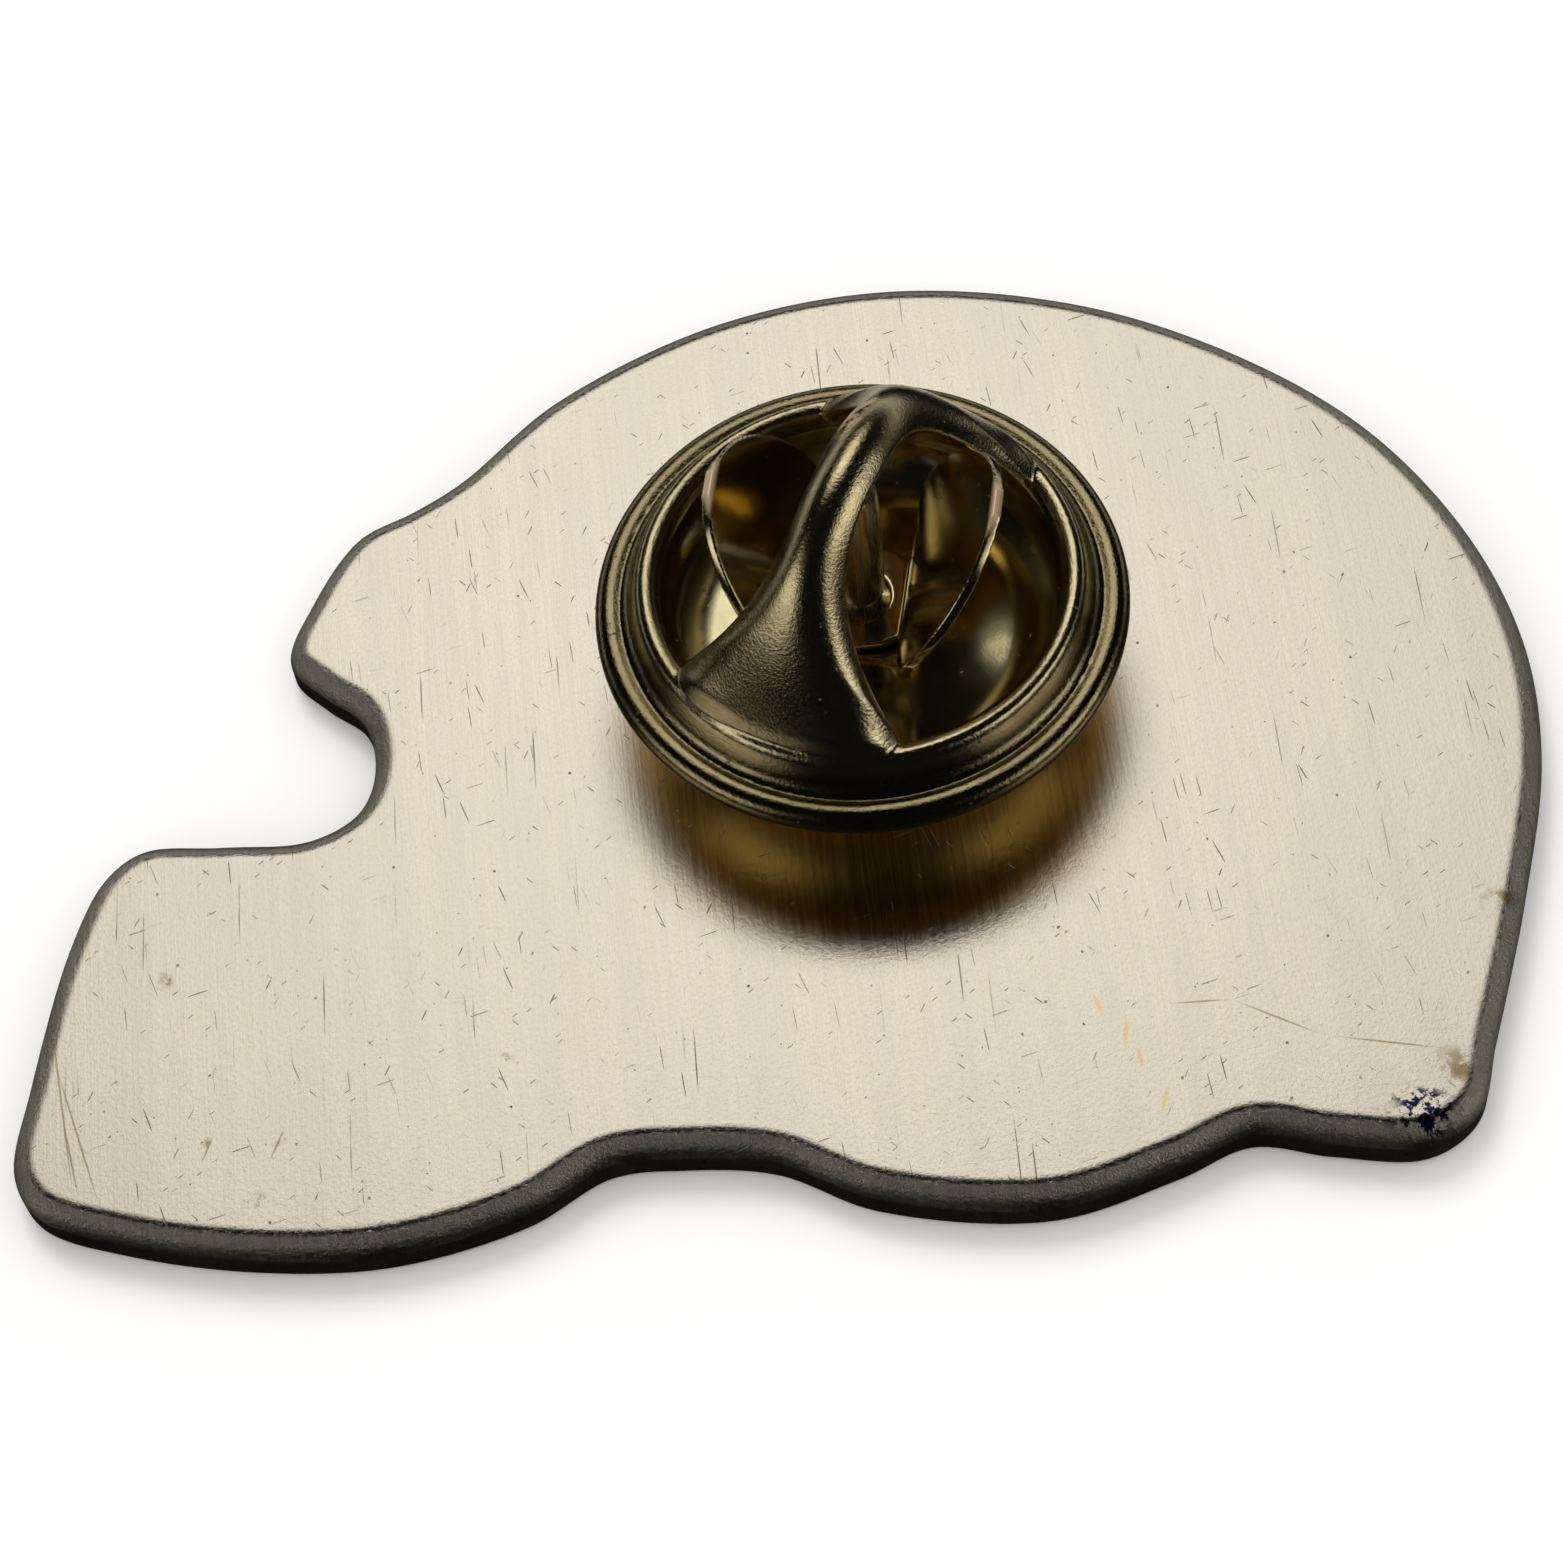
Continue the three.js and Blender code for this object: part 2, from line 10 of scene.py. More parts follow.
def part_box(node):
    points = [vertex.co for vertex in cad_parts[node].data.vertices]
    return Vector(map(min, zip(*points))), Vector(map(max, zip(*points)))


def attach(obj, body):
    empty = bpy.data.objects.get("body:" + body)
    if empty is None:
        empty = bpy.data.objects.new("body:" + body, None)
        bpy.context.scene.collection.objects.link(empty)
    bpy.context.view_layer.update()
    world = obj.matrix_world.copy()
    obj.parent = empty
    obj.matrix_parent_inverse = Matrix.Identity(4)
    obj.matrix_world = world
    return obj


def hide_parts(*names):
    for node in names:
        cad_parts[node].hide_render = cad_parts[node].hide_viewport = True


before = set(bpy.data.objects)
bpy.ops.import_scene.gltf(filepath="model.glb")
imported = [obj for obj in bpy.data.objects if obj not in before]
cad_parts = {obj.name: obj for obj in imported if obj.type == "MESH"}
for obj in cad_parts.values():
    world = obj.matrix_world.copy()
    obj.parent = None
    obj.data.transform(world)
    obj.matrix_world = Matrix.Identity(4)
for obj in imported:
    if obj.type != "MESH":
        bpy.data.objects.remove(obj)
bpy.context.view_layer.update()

MM = 0.001

# ---- Places and sizes from the frame, in millimetres ------------------------------------------
plate_low, plate_high = (Vector(corner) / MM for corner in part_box("struck_body"))
post_low, post_high = (Vector(corner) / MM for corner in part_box("post"))
PLATE_THICKNESS = plate_high.z
PLATE_SIZE = np.array([plate_high.x - plate_low.x, plate_high.y - plate_low.y])
POST_X = (post_low.x + post_high.x) / 2
POST_Y = (post_low.y + post_high.y) / 2
POST_LENGTH = post_high.z - post_low.z

# ---- Shape of the plate, as in the CAD source apart from the softer back edge -----------------
BACK_ROUND = 0.5
FRONT_ROUND = 0.16
BORDER = 0.8
CELL_DEPTH = 0.45
ENAMEL_SINK = 0.1
FILL_GAP = 0.015
LINE_WIDTH = 0.42
LINE_ROUND = 0.045
SMALLEST_CELL = 0.9  # narrower slivers stay bare metal
BAR_WIDTH = 0.85
OUTLINE_STEPS = 900
LEVEL_FACE = 0.9999  # a face whose normal's Z is over this is level, and shaded flat

HELMET_OUTLINE = [
    (4.3, 12.0), (0.1, 11.7), (-3.9, 10.02), (-6.3, 8.05), (-7.4, 7.42), (-8.75, 6.8), (-9.9, 5.15),
    (-10.45, 3.7), (-9.75, 2.75), (-8.9, 1.9), (-8.7, 0.6), (-9.12, -0.5), (-10.2, -1.05),
    (-12.1, -0.92), (-13.85, -0.78), (-14.72, -1.35), (-15.5, -2.9), (-16.42, -6.3),
    (-16.77, -8.2), (-16.3, -9.2), (-14.5, -10.08), (-11.7, -10.85), (-9.0, -11.1), (-6.2, -10.6),
    (-4.4, -9.75), (-2.9, -9.78), (-1.0, -10.15), (1.0, -11.28), (4.5, -12.0), (7.2, -11.45),
    (8.8, -10.95), (10.4, -11.4), (12.3, -11.72), (13.45, -11.1), (14.1, -9.6), (15.4, -6.4),
    (16.5, -3.0), (16.75, 0.0), (16.1, 3.1), (14.5, 6.2), (12.0, 8.75), (8.6, 10.85),
]
STRIPE_CENTRE = (3.5, -3.0)
STRIPE_OUTER = 12.2
STRIPE_INNER = 10.4
STRIPE_FROM = 168
STRIPE_TO = -64
EAR_CENTRE = (2.6, -5.2)
EAR_RADIUS = 1.75
FACE_EDGE = [(-9.6, 1.5), (-7.4, 0.9), (-5.3, -0.9), (-4.2, -3.6), (-4.2, -6.6), (-4.6, -10.4)]
GUARD_BARS = [
    [(-16.6, -4.3), (-10.4, -4.2), (-4.0, -4.6)],
    [(-17.4, -7.5), (-10.4, -7.45), (-4.0, -7.7)],
    [(-12.2, -0.3), (-12.7, -5.8), (-12.9, -11.4)],
    [(-8.3, 0.2), (-8.6, -5.6), (-8.8, -11.7)],
]

# ---- Shape of the post and clutch, heights from the back of the plate -------------------------
POST_RADIUS = 0.55
POST_TAPER = 0.75
GROOVE_RADIUS = 0.45
GROOVE_LOW = 2.05
GROOVE_HIGH = 3.05
FILLET_RADIUS = 1.05
FILLET_HEIGHT = 0.38
SHEET = 0.22
BEAD_RADIUS = 5.4
BEAD_TUBE = 0.35
BEAD_HEIGHT = 2.6
CUP_FLOOR = 1.25
CUP_HOLE = 0.72
RING_TOP = 3.7
LIP_INNER = 4.28
ROUND_STEPS = 192
ARCH_ANGLE = 31
ARCH_RISE = 4.27
ARCH_HALF_SPAN = 4.68
ARCH_POWER = 2.42
ARCH_EDGE_RISE = 3.8
ARCH_EDGE_HALF_SPAN = 3.5
ARCH_EDGE_POWER = 2.7
ARCH_WAIST = 0.66
ARCH_FOOT = 2.5
ARCH_FLARE_POWER = 4.7
ARCH_SHEET = 0.28
ARCH_END_RADIUS = 5.08
GROOVE_HEIGHT = 2.86  # floor of the ring's groove, where the feet of the arch run out
WING_ANGLE = 14
WING_KNEE = 1.25
WING_HALF_WIDTH = 2.55
WING_BASE = 4.0
WING_HEIGHT = 2.5
WING_BEND_START = 3.4
WING_BEND = 0.45
WING_LEAN = 0.69
FOOT_HALF_WIDTH = 1.6
FOOT_TAIL = 0.95
PRESS_TRAVEL = 0.4
PRESS_GAP = 0.05
LOW_FOOT = 2.3
HIGH_FOOT = 2.62
FLANGE_LOW = BEAD_HEIGHT - SHEET / 2
FLANGE_HIGH = BEAD_HEIGHT + SHEET / 2
FLANGE_RADIUS = BEAD_RADIUS + 0.05
CAP_VOXEL = 0.042
CAP_KEPT = 0.42
WING_VOXEL = 0.036


# ---- Curves -----------------------------------------------------------------------------------
def spline(knots, steps, closed):
    """Evenly spaced points on a centripetal Catmull-Rom curve."""
    knots = [np.array(k, float) for k in knots]
    count = len(knots)
    if closed:
        quads = [[knots[(i + j) % count] for j in (-1, 0, 1, 2)] for i in range(count)]
    else:
        first = 2 * knots[0] - knots[1]
        last = 2 * knots[-1] - knots[-2]
        line = [first] + knots + [last]
        quads = [line[i:i + 4] for i in range(count - 1)]
    t = np.linspace(0, 1, 60, endpoint=False)[:, None]
    points = []
    for a, b, c, d in quads:
        ab, bc, cd = (math.sqrt(np.linalg.norm(q - p)) for p, q in ((a, b), (b, c), (c, d)))
        start = ((b - a) / ab - (c - a) / (ab + bc) + (c - b) / bc) * bc
        end = ((c - b) / bc - (d - b) / (bc + cd) + (d - c) / cd) * bc
        cubic = 2 * b - 2 * c + start + end
        square = -3 * b + 3 * c - 2 * start - end
        points.append(b + start * t + square * t**2 + cubic * t**3)
    points = np.vstack(points + [knots[0 if closed else -1][None]])
    length = np.concatenate([[0], np.cumsum(np.linalg.norm(np.diff(points, axis=0), axis=1))])
    wanted = np.linspace(0, length[-1], steps + 1)
    even = np.stack([np.interp(wanted, length, points[:, k]) for k in (0, 1)], axis=1)
    return even[:-1] if closed else even


def helmet_outline():
    loop = spline(HELMET_OUTLINE, OUTLINE_STEPS, True)
    low, high = loop.min(0), loop.max(0)
    return (loop - (low + high) / 2) * PLATE_SIZE / (high - low)


def pushed_in(loop, distance):
    along = np.roll(loop, -1, axis=0) - np.roll(loop, 1, axis=0)
    along /= np.linalg.norm(along, axis=1)[:, None]
    return loop + np.stack([-along[:, 1], along[:, 0]], axis=1) * distance


def inset_loop(loop, distance):
    """Like pushed_in, with the points left out that land too near a tight corner."""
    moved = pushed_in(loop, distance)
    gap = np.linalg.norm(moved[:, None, :] - loop[None, :, :], axis=2).min(axis=1)
    return moved[gap > distance - 0.004]


def circle(x, y, radius, steps=96):
    angle = np.linspace(0, 2 * math.pi, steps, endpoint=False)
    return np.stack([x + radius * np.cos(angle), y + radius * np.sin(angle)], axis=1)


def stripe_arc(radius):
    angle = np.radians(np.linspace(STRIPE_FROM, STRIPE_TO, 241))
    x, y = STRIPE_CENTRE
    return np.stack([x + radius * np.cos(angle), y + radius * np.sin(angle)], axis=1)


def bar_loop(path, width):
    along = np.gradient(path, axis=0)
    along /= np.linalg.norm(along, axis=1)[:, None]
    across = np.stack([-along[:, 1], along[:, 0]], axis=1) * width / 2
    return np.vstack([path - across, (path + across)[::-1]])


def chaikin(points, closed, passes=3):
    """Cuts the corners of a profile, so that bends become round."""
    line = np.array(points, float)
    for _ in range(passes):
        after = np.roll(line, -1, axis=0) if closed else line[1:]
        here = line if closed else line[:-1]
        cut = np.stack([0.75 * here + 0.25 * after, 0.25 * here + 0.75 * after], axis=1)
        cut = cut.reshape(-1, 2)
        line = cut if closed else np.vstack([line[:1], cut[1:-1], line[-1:]])
    return line


def arc_points(radius_at, height_at, radius, start, stop, steps):
    angle = np.radians(np.linspace(start, stop, steps + 1))
    return [(radius_at + radius * math.cos(a), height_at + radius * math.sin(a)) for a in angle]


# ---- Meshes, built in millimetres -------------------------------------------------------------
def new_object(name, points, faces):
    mesh = bpy.data.meshes.new(name)
    mesh.from_pydata([tuple(map(float, p)) for p in points], [], [list(map(int, f)) for f in faces])
    thing = bpy.data.objects.new(name, mesh)
    bpy.context.scene.collection.objects.link(thing)
    return thing


def applied(thing):
    """Bakes the modifiers into the mesh."""
    graph = bpy.context.evaluated_depsgraph_get()
    mesh = bpy.data.meshes.new_from_object(thing.evaluated_get(graph))
    thing.modifiers.clear()
    thing.data = mesh
    return thing


def boolean(thing, tool, operation):
    step = thing.modifiers.new("boolean", "BOOLEAN")
    step.operation = operation
    step.solver = "EXACT"
    step.object = tool
    applied(thing)
    bpy.data.objects.remove(tool)
    return thing


def joined(name, things):
    """One object with all the meshes, overlapping where they overlap."""
    made = bmesh.new()
    for thing in things:
        made.from_mesh(thing.data)
        bpy.data.objects.remove(thing)
    mesh = bpy.data.meshes.new(name)
    made.to_mesh(mesh)
    made.free()
    result = bpy.data.objects.new(name, mesh)
    bpy.context.scene.collection.objects.link(result)
    return result


def melted(thing, voxel, smoothing):
    """Fuses overlapping sheets into one skin with soft edges, as stamping leaves them."""
    remesh = thing.modifiers.new("remesh", "REMESH")
    remesh.mode = "VOXEL"
    remesh.voxel_size = voxel
    soften = thing.modifiers.new("soften", "SMOOTH")
    soften.factor = 0.5
    soften.iterations = smoothing
    return applied(thing)


def prism(name, loop, low, high):
    count = len(loop)
    points = [(x, y, z) for z in (low, high) for x, y in loop]
    faces = [list(range(count))[::-1], list(range(count, 2 * count))]
    faces += [[i, (i + 1) % count, count + (i + 1) % count, count + i] for i in range(count)]
    return new_object(name, points, faces)


def turned(name, profile, steps=ROUND_STEPS):
    """A round solid from a closed half profile; a point on the axis becomes a pole."""
    angles = np.linspace(0, 2 * math.pi, steps, endpoint=False)
    points, rows = [], []
    for radius, height in profile:
        if radius < 1e-6:
            rows.append([len(points)] * steps)
            points.append((0, 0, height))
            continue
        rows.append(list(range(len(points), len(points) + steps)))
        points += [(radius * math.cos(a), radius * math.sin(a), height) for a in angles]
    faces = []
    poles = sum(1 for radius, _ in profile if radius < 1e-6)
    spans = len(rows) - 1 if poles else len(rows)
    for r in range(spans):
        low, high = rows[r], rows[(r + 1) % len(rows)]
        for i in range(steps):
            j = (i + 1) % steps
            corner = [low[i], low[j], high[j], high[i]]
            face = [v for k, v in enumerate(corner) if v not in corner[:k]]
            if len(face) > 2:
                faces.append(face)
    return new_object(name, points, faces)


def sheet_solid(name, point_at, thickness, steps_u, steps_v):
    """A thin curved sheet; point_at(u, v) is its outer surface for arrays u and v."""
    u, v = np.meshgrid(np.linspace(0, 1, steps_u + 1), np.linspace(0, 1, steps_v + 1))
    delta = 1e-3
    along_u = point_at(np.minimum(u + delta, 1), v) - point_at(np.maximum(u - delta, 0), v)
    along_v = point_at(u, np.minimum(v + delta, 1)) - point_at(u, np.maximum(v - delta, 0))
    normal = np.cross(along_u, along_v)
    normal /= np.linalg.norm(normal, axis=2)[:, :, None]
    outer = point_at(u, v)
    inner = outer - normal * thickness
    points = np.vstack([outer.reshape(-1, 3), inner.reshape(-1, 3)])
    row, under = steps_u + 1, outer.shape[0] * outer.shape[1]
    faces = []
    for j in range(steps_v):
        for i in range(steps_u):
            a = j * row + i
            faces.append([a, a + 1, a + 1 + row, a + row])
            faces.append([under + a, under + a + row, under + a + 1 + row, under + a + 1])
    for i in range(steps_u):
        last = steps_v * row + i
        faces.append([i, under + i, under + i + 1, i + 1])
        faces.append([last, last + 1, under + last + 1, under + last])
    for j in range(steps_v):
        start = j * row
        end = start + steps_u
        faces.append([start, start + row, under + start + row, under + start])
        faces.append([end, under + end, under + end + row, end + row])
    return new_object(name, points, faces)


def settle(thing, degrees=0.0, on_back=False):
    """Puts a piece at its place, in metres, and shades it smooth."""
    place = Matrix.Identity(4)
    if on_back:
        place = Matrix.Translation((POST_X, POST_Y, PLATE_THICKNESS))
    place = place @ Matrix.Rotation(math.radians(degrees), 4, "Z")
    thing.data.transform(Matrix.Scale(MM, 4) @ place)
    work = bmesh.new()
    work.from_mesh(thing.data)
    bmesh.ops.recalc_face_normals(work, faces=work.faces)
    work.to_mesh(thing.data)
    work.free()
    for face in thing.data.polygons:
        face.use_smooth = True
    return thing


# ---- Plate and enamel -------------------------------------------------------------------------
def plate_layers():
    flat = 0.07  # a narrow level band, so that the large faces keep level normals
    steps = 8
    quarter = [math.pi / 2 * i / steps for i in range(steps + 1)]
    front = [(FRONT_ROUND * (1 - math.sin(a)), FRONT_ROUND * (1 - math.cos(a))) for a in quarter]
    back = [
        (BACK_ROUND * (1 - math.cos(a)), PLATE_THICKNESS - BACK_ROUND * (1 - math.sin(a)))
        for a in quarter
    ]
    level_front = [(FRONT_ROUND + flat, 0.0)]
    level_back = [(BACK_ROUND + flat, PLATE_THICKNESS)]
    return level_front + front + back + level_back


def rounded_plate(loop):
    count = len(loop)
    layers = plate_layers()
    points = []
    for inset, height in layers:
        points += [(x, y, height) for x, y in pushed_in(loop, inset)]
    faces = [list(range(count))[::-1]]
    for ring in range(len(layers) - 1):
        for i in range(count):
            j = (i + 1) % count
            a, b = ring * count + i, ring * count + j
            faces.append([a, b, b + count, a + count])
    top = (len(layers) - 1) * count
    faces.append(list(range(top, top + count)))
    return new_object("plate", points, faces)


def line_tools(extra, low, high):
    """The raised lines and bars as solids, grown by extra on each side."""
    line = LINE_WIDTH + 2 * extra
    bar = BAR_WIDTH + 2 * extra
    edge = spline(FACE_EDGE, 120, False)
    face_side = np.vstack([edge, [(-5, -14), (-20, -14), (-20, 3)]])
    tools = [prism("face_edge", bar_loop(edge, line), low, high)]
    ear_x, ear_y = EAR_CENTRE
    ring = prism("ear_ring", circle(ear_x, ear_y, EAR_RADIUS + line / 2), low, high)
    hole = prism("ear_hole", circle(ear_x, ear_y, EAR_RADIUS - line / 2), low - 1, high + 1)
    tools.append(boolean(ring, hole, "DIFFERENCE"))
    for radius in (STRIPE_OUTER, STRIPE_INNER):
        stripe = prism("stripe", bar_loop(stripe_arc(radius), line), low, high)
        area = prism("face_area", face_side[::-1], low - 1, high + 1)
        tools.append(boolean(stripe, area, "DIFFERENCE"))
    for knots in GUARD_BARS:
        guard = prism("guard", bar_loop(spline(knots, 60, False), bar), low, high)
        area = prism("face_area", face_side[::-1], low - 1, high + 1)
        tools.append(boolean(guard, area, "INTERSECT"))
    return tools


def cells(loop, extra, low, high):
    """The spaces between the lines, as one object of several separate solids."""
    field = prism("field", loop, low, high)
    for tool in line_tools(extra, low - 0.5, high + 0.5):
        boolean(field, tool, "DIFFERENCE")
    return field


def soften_front_lines(thing):
    """Rounds the front edges of the raised lines."""
    work = bmesh.new()
    work.from_mesh(thing.data)
    bmesh.ops.remove_doubles(work, verts=work.verts, dist=1e-4)
    sharp = []
    for edge in work.edges:
        level = all(abs(v.co.z) < 1e-4 for v in edge.verts)
        if level and len(edge.link_faces) == 2 and edge.calc_face_angle(0) > math.radians(60):
            sharp.append(edge)
    bmesh.ops.bevel(
        work, geom=sharp, offset=LINE_ROUND, segments=3, profile=0.5, affect="EDGES", clamp_overlap=True
    )
    work.to_mesh(thing.data)
    work.free()


def make_plate(outline):
    plate = rounded_plate(outline)
    recess = cells(inset_loop(outline, BORDER), 0.0, -1.0, CELL_DEPTH)
    boolean(plate, recess, "DIFFERENCE")
    soften_front_lines(plate)
    settle(plate)
    return plate


def separate_solids(thing):
    """Splits an object's mesh into one object for each connected solid."""
    work = bmesh.new()
    work.from_mesh(thing.data)
    bmesh.ops.remove_doubles(work, verts=work.verts, dist=1e-4)
    left = set(work.verts)
    groups = []
    while left:
        stack = [left.pop()]
        group = set(stack)
        while stack:
            for edge in stack.pop().link_edges:
                for vert in edge.verts:
                    if vert in left:
                        left.remove(vert)
                        group.add(vert)
                        stack.append(vert)
        groups.append(group)
    solids = []
    for group in groups:
        order = {v: i for i, v in enumerate(group)}
        faces = [[order[v] for v in f.verts] for f in work.faces if f.verts[0] in group]
        solids.append(new_object("fill", [v.co for v in group], faces))
    work.free()
    bpy.data.objects.remove(thing)
    return solids


def fill_node(x, y):
    """The CAD node that a fill stands for, from the middle of its box."""
    low_high = {name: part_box(name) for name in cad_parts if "enamel" in name or "guard" in name}
    middle = {n: ((a.x + b.x) / 2 / MM, (a.y + b.y) / 2 / MM) for n, (a, b) in low_high.items()}
    return min(middle, key=lambda n: math.hypot(middle[n][0] - x, middle[n][1] - y))


def make_fills(outline):
    field = cells(inset_loop(outline, BORDER + FILL_GAP), FILL_GAP, ENAMEL_SINK, CELL_DEPTH - FILL_GAP)
    fills = {}
    for solid in separate_solids(field):
        co = np.array([v.co for v in solid.data.vertices])
        size = co.max(0) - co.min(0)
        if min(size[:2]) < SMALLEST_CELL:
            bpy.data.objects.remove(solid)
            continue
        middle = (co.max(0) + co.min(0)) / 2
        node = fill_node(middle[0], middle[1])
        settle(solid)
        for face in solid.data.polygons:
            face.use_smooth = abs(face.normal.z) < LEVEL_FACE
        solid.name = node + "_fill"
        fills[node] = solid
    return fills


# ---- Post and clutch --------------------------------------------------------------------------
def make_post():
    shoulder = POST_LENGTH - POST_TAPER
    slope = 0.12
    profile = [
        (0, 0), (POST_RADIUS, 0), (POST_RADIUS, 0.6), (POST_RADIUS, GROOVE_LOW - slope),
        (GROOVE_RADIUS, GROOVE_LOW), (GROOVE_RADIUS, GROOVE_HIGH),
        (POST_RADIUS, GROOVE_HIGH + slope), (POST_RADIUS, shoulder),
        (POST_RADIUS * 0.72, shoulder + POST_TAPER * 0.45),
        (POST_RADIUS * 0.4, shoulder + POST_TAPER * 0.8), (0.09, POST_LENGTH), (0, POST_LENGTH),
    ]
    return settle(turned("post_wire", chaikin(profile, False), 64), on_back=True)


def make_solder():
    inner = POST_RADIUS + 0.03
    profile = [
        (inner, 0), (FILLET_RADIUS, 0), (FILLET_RADIUS, 0.05), (FILLET_RADIUS - 0.2, 0.12),
        (inner + 0.14, FILLET_HEIGHT - 0.12), (inner + 0.04, FILLET_HEIGHT), (inner, FILLET_HEIGHT),
    ]
    ring = turned("solder_ring", chaikin(profile, True, 2), 96)
    for vert in ring.data.vertices:  # hand-made solder is never quite round
        angle = math.atan2(vert.co.y, vert.co.x)
        radius = math.hypot(vert.co.x, vert.co.y)
        share = (radius - inner) / (FILLET_RADIUS - inner)
        swell = 1 + 0.05 * share * math.sin(3 * angle + 0.6)
        vert.co.x *= swell
        vert.co.y *= swell
    return settle(ring, on_back=True)


def make_cup():
    profile = [
        (CUP_HOLE, CUP_FLOOR), (3.1, CUP_FLOOR), (3.7, CUP_FLOOR + 0.12), (4.25, CUP_FLOOR + 0.42),
        (4.65, CUP_FLOOR + 0.85), (4.8, FLANGE_LOW - 0.12), (4.88, FLANGE_LOW),
        (FLANGE_RADIUS, FLANGE_LOW), (FLANGE_RADIUS, FLANGE_HIGH), (4.78, FLANGE_HIGH),
        (4.62, FLANGE_LOW), (4.45, CUP_FLOOR + 0.95), (4.1, CUP_FLOOR + 0.58),
        (3.6, CUP_FLOOR + 0.32), (3.05, CUP_FLOOR + SHEET), (CUP_HOLE, CUP_FLOOR + SHEET),
    ]
    return settle(turned("cup_bowl", chaikin(profile, True)), on_back=True)


def ring_profile():
    channel_low = FLANGE_LOW - 0.05
    channel_high = FLANGE_HIGH + 0.05
    channel_radius = FLANGE_RADIUS + 0.08
    lip_inner = 5.02
    return [
        (lip_inner, channel_low), (lip_inner, BEAD_HEIGHT - 0.3),
        *arc_points(BEAD_RADIUS, BEAD_HEIGHT, BEAD_TUBE, -110, 126, 30),
        (5.04, 2.98), (4.94, 3.13), (4.87, 3.34), (4.81, 3.54), (4.72, 3.66), (4.6, RING_TOP),
        (4.46, RING_TOP - 0.02), (4.34, RING_TOP - 0.11), (LIP_INNER, RING_TOP - 0.28),
        (LIP_INNER, RING_TOP - 0.55), (LIP_INNER + 0.18, RING_TOP - 0.55),
        (LIP_INNER + 0.24, RING_TOP - 0.32), (4.62, RING_TOP - 0.24), (4.7, 3.3), (4.76, 2.95),
        (4.86, channel_high), (channel_radius, channel_high), (channel_radius, channel_low),
    ]


def arch_point(u, v):
    side = 2 * u - 1
    along = (2 * v - 1) * np.sqrt(ARCH_END_RADIUS**2 - (side * ARCH_FOOT) ** 2)
    span = np.abs(along) / ARCH_HALF_SPAN
    edge_span = np.minimum(np.abs(along) / ARCH_EDGE_HALF_SPAN, 1)
    half_width = ARCH_WAIST + (ARCH_FOOT - ARCH_WAIST) * edge_span**ARCH_FLARE_POWER
    middle = ARCH_RISE * (1 - span**ARCH_POWER)
    edge = ARCH_EDGE_RISE * (1 - edge_span**ARCH_EDGE_POWER)
    height = RING_TOP - 0.06 + middle + (edge - middle) * side**2
    radius = np.hypot(side * half_width, along)
    drop = np.clip((radius - 4.5) / (ARCH_END_RADIUS - 4.5), 0, 1)
    drop = drop**2 * (3 - 2 * drop)
    return np.stack([side * half_width, along, height + (GROOVE_HEIGHT - height) * drop], axis=-1)


def make_cap():
    ring = turned("ring", ring_profile())
    arch = sheet_solid("arch", arch_point, ARCH_SHEET, 40, 200)
    cap = melted(joined("cap_arch_and_rim", [ring, arch]), CAP_VOXEL, 12)
    thin_out = cap.modifiers.new("thin_out", "DECIMATE")
    thin_out.ratio = CAP_KEPT
    applied(cap)
    return settle(cap, -ARCH_ANGLE, on_back=True)


def make_wing(name, foot_height, has_window, degrees):
    top = WING_BASE + WING_HEIGHT
    start = foot_height + SHEET / 2

    def point_at(u, v):
        height = start + (top - start) * v
        widening = np.minimum((height - foot_height) / (WING_BASE - foot_height), 1) ** 0.7
        stem = FOOT_HALF_WIDTH + (WING_HALF_WIDTH - FOOT_HALF_WIDTH) * widening
        tip_share = np.minimum(np.maximum(height - WING_BASE, 0) / WING_HEIGHT, 0.992)
        across = (2 * u - 1) * stem * np.sqrt(1 - tip_share**2)
        rise = np.maximum(height - WING_BEND_START, 0)
        lean = WING_LEAN * rise**2 / (rise + WING_BEND)
        return np.stack([WING_KNEE + lean, across, height], axis=-1)

    leaf = sheet_solid("leaf", point_at, SHEET, 60, 110)
    slot_in = -(GROOVE_RADIUS + 0.17)
    slot_out = POST_RADIUS + PRESS_TRAVEL + PRESS_GAP
    slot_half = POST_RADIUS + 0.1
    foot_loop = [
        (-FOOT_TAIL, -1.0), (-FOOT_TAIL + 0.35, -1.2), (WING_KNEE, -FOOT_HALF_WIDTH),
        (WING_KNEE, FOOT_HALF_WIDTH), (-FOOT_TAIL + 0.35, 1.2), (-FOOT_TAIL, 1.0),
    ]
    foot = prism("foot", foot_loop, foot_height, foot_height + SHEET)
    half_turn = np.linspace(-math.pi / 2, math.pi / 2, 17)
    right = [(slot_out - slot_half + slot_half * math.cos(a), slot_half * math.sin(a)) for a in half_turn]
    left = [(slot_in + slot_half - slot_half * math.cos(a), -slot_half * math.sin(a)) for a in half_turn]
    boolean(foot, prism("slot", right + left, foot_height - 1, foot_height + 1), "DIFFERENCE")
    if has_window:
        half = 1.3
        window_loop = [(0.6, -half), (1.9, -half), (1.9, half), (0.6, half)]
        window = prism("window", window_loop, HIGH_FOOT - 0.06, HIGH_FOOT + SHEET + 0.08)
        boolean(leaf, window, "DIFFERENCE")
    wing = melted(joined(name, [leaf, foot]), WING_VOXEL, 3)
    return settle(wing, degrees, on_back=True)


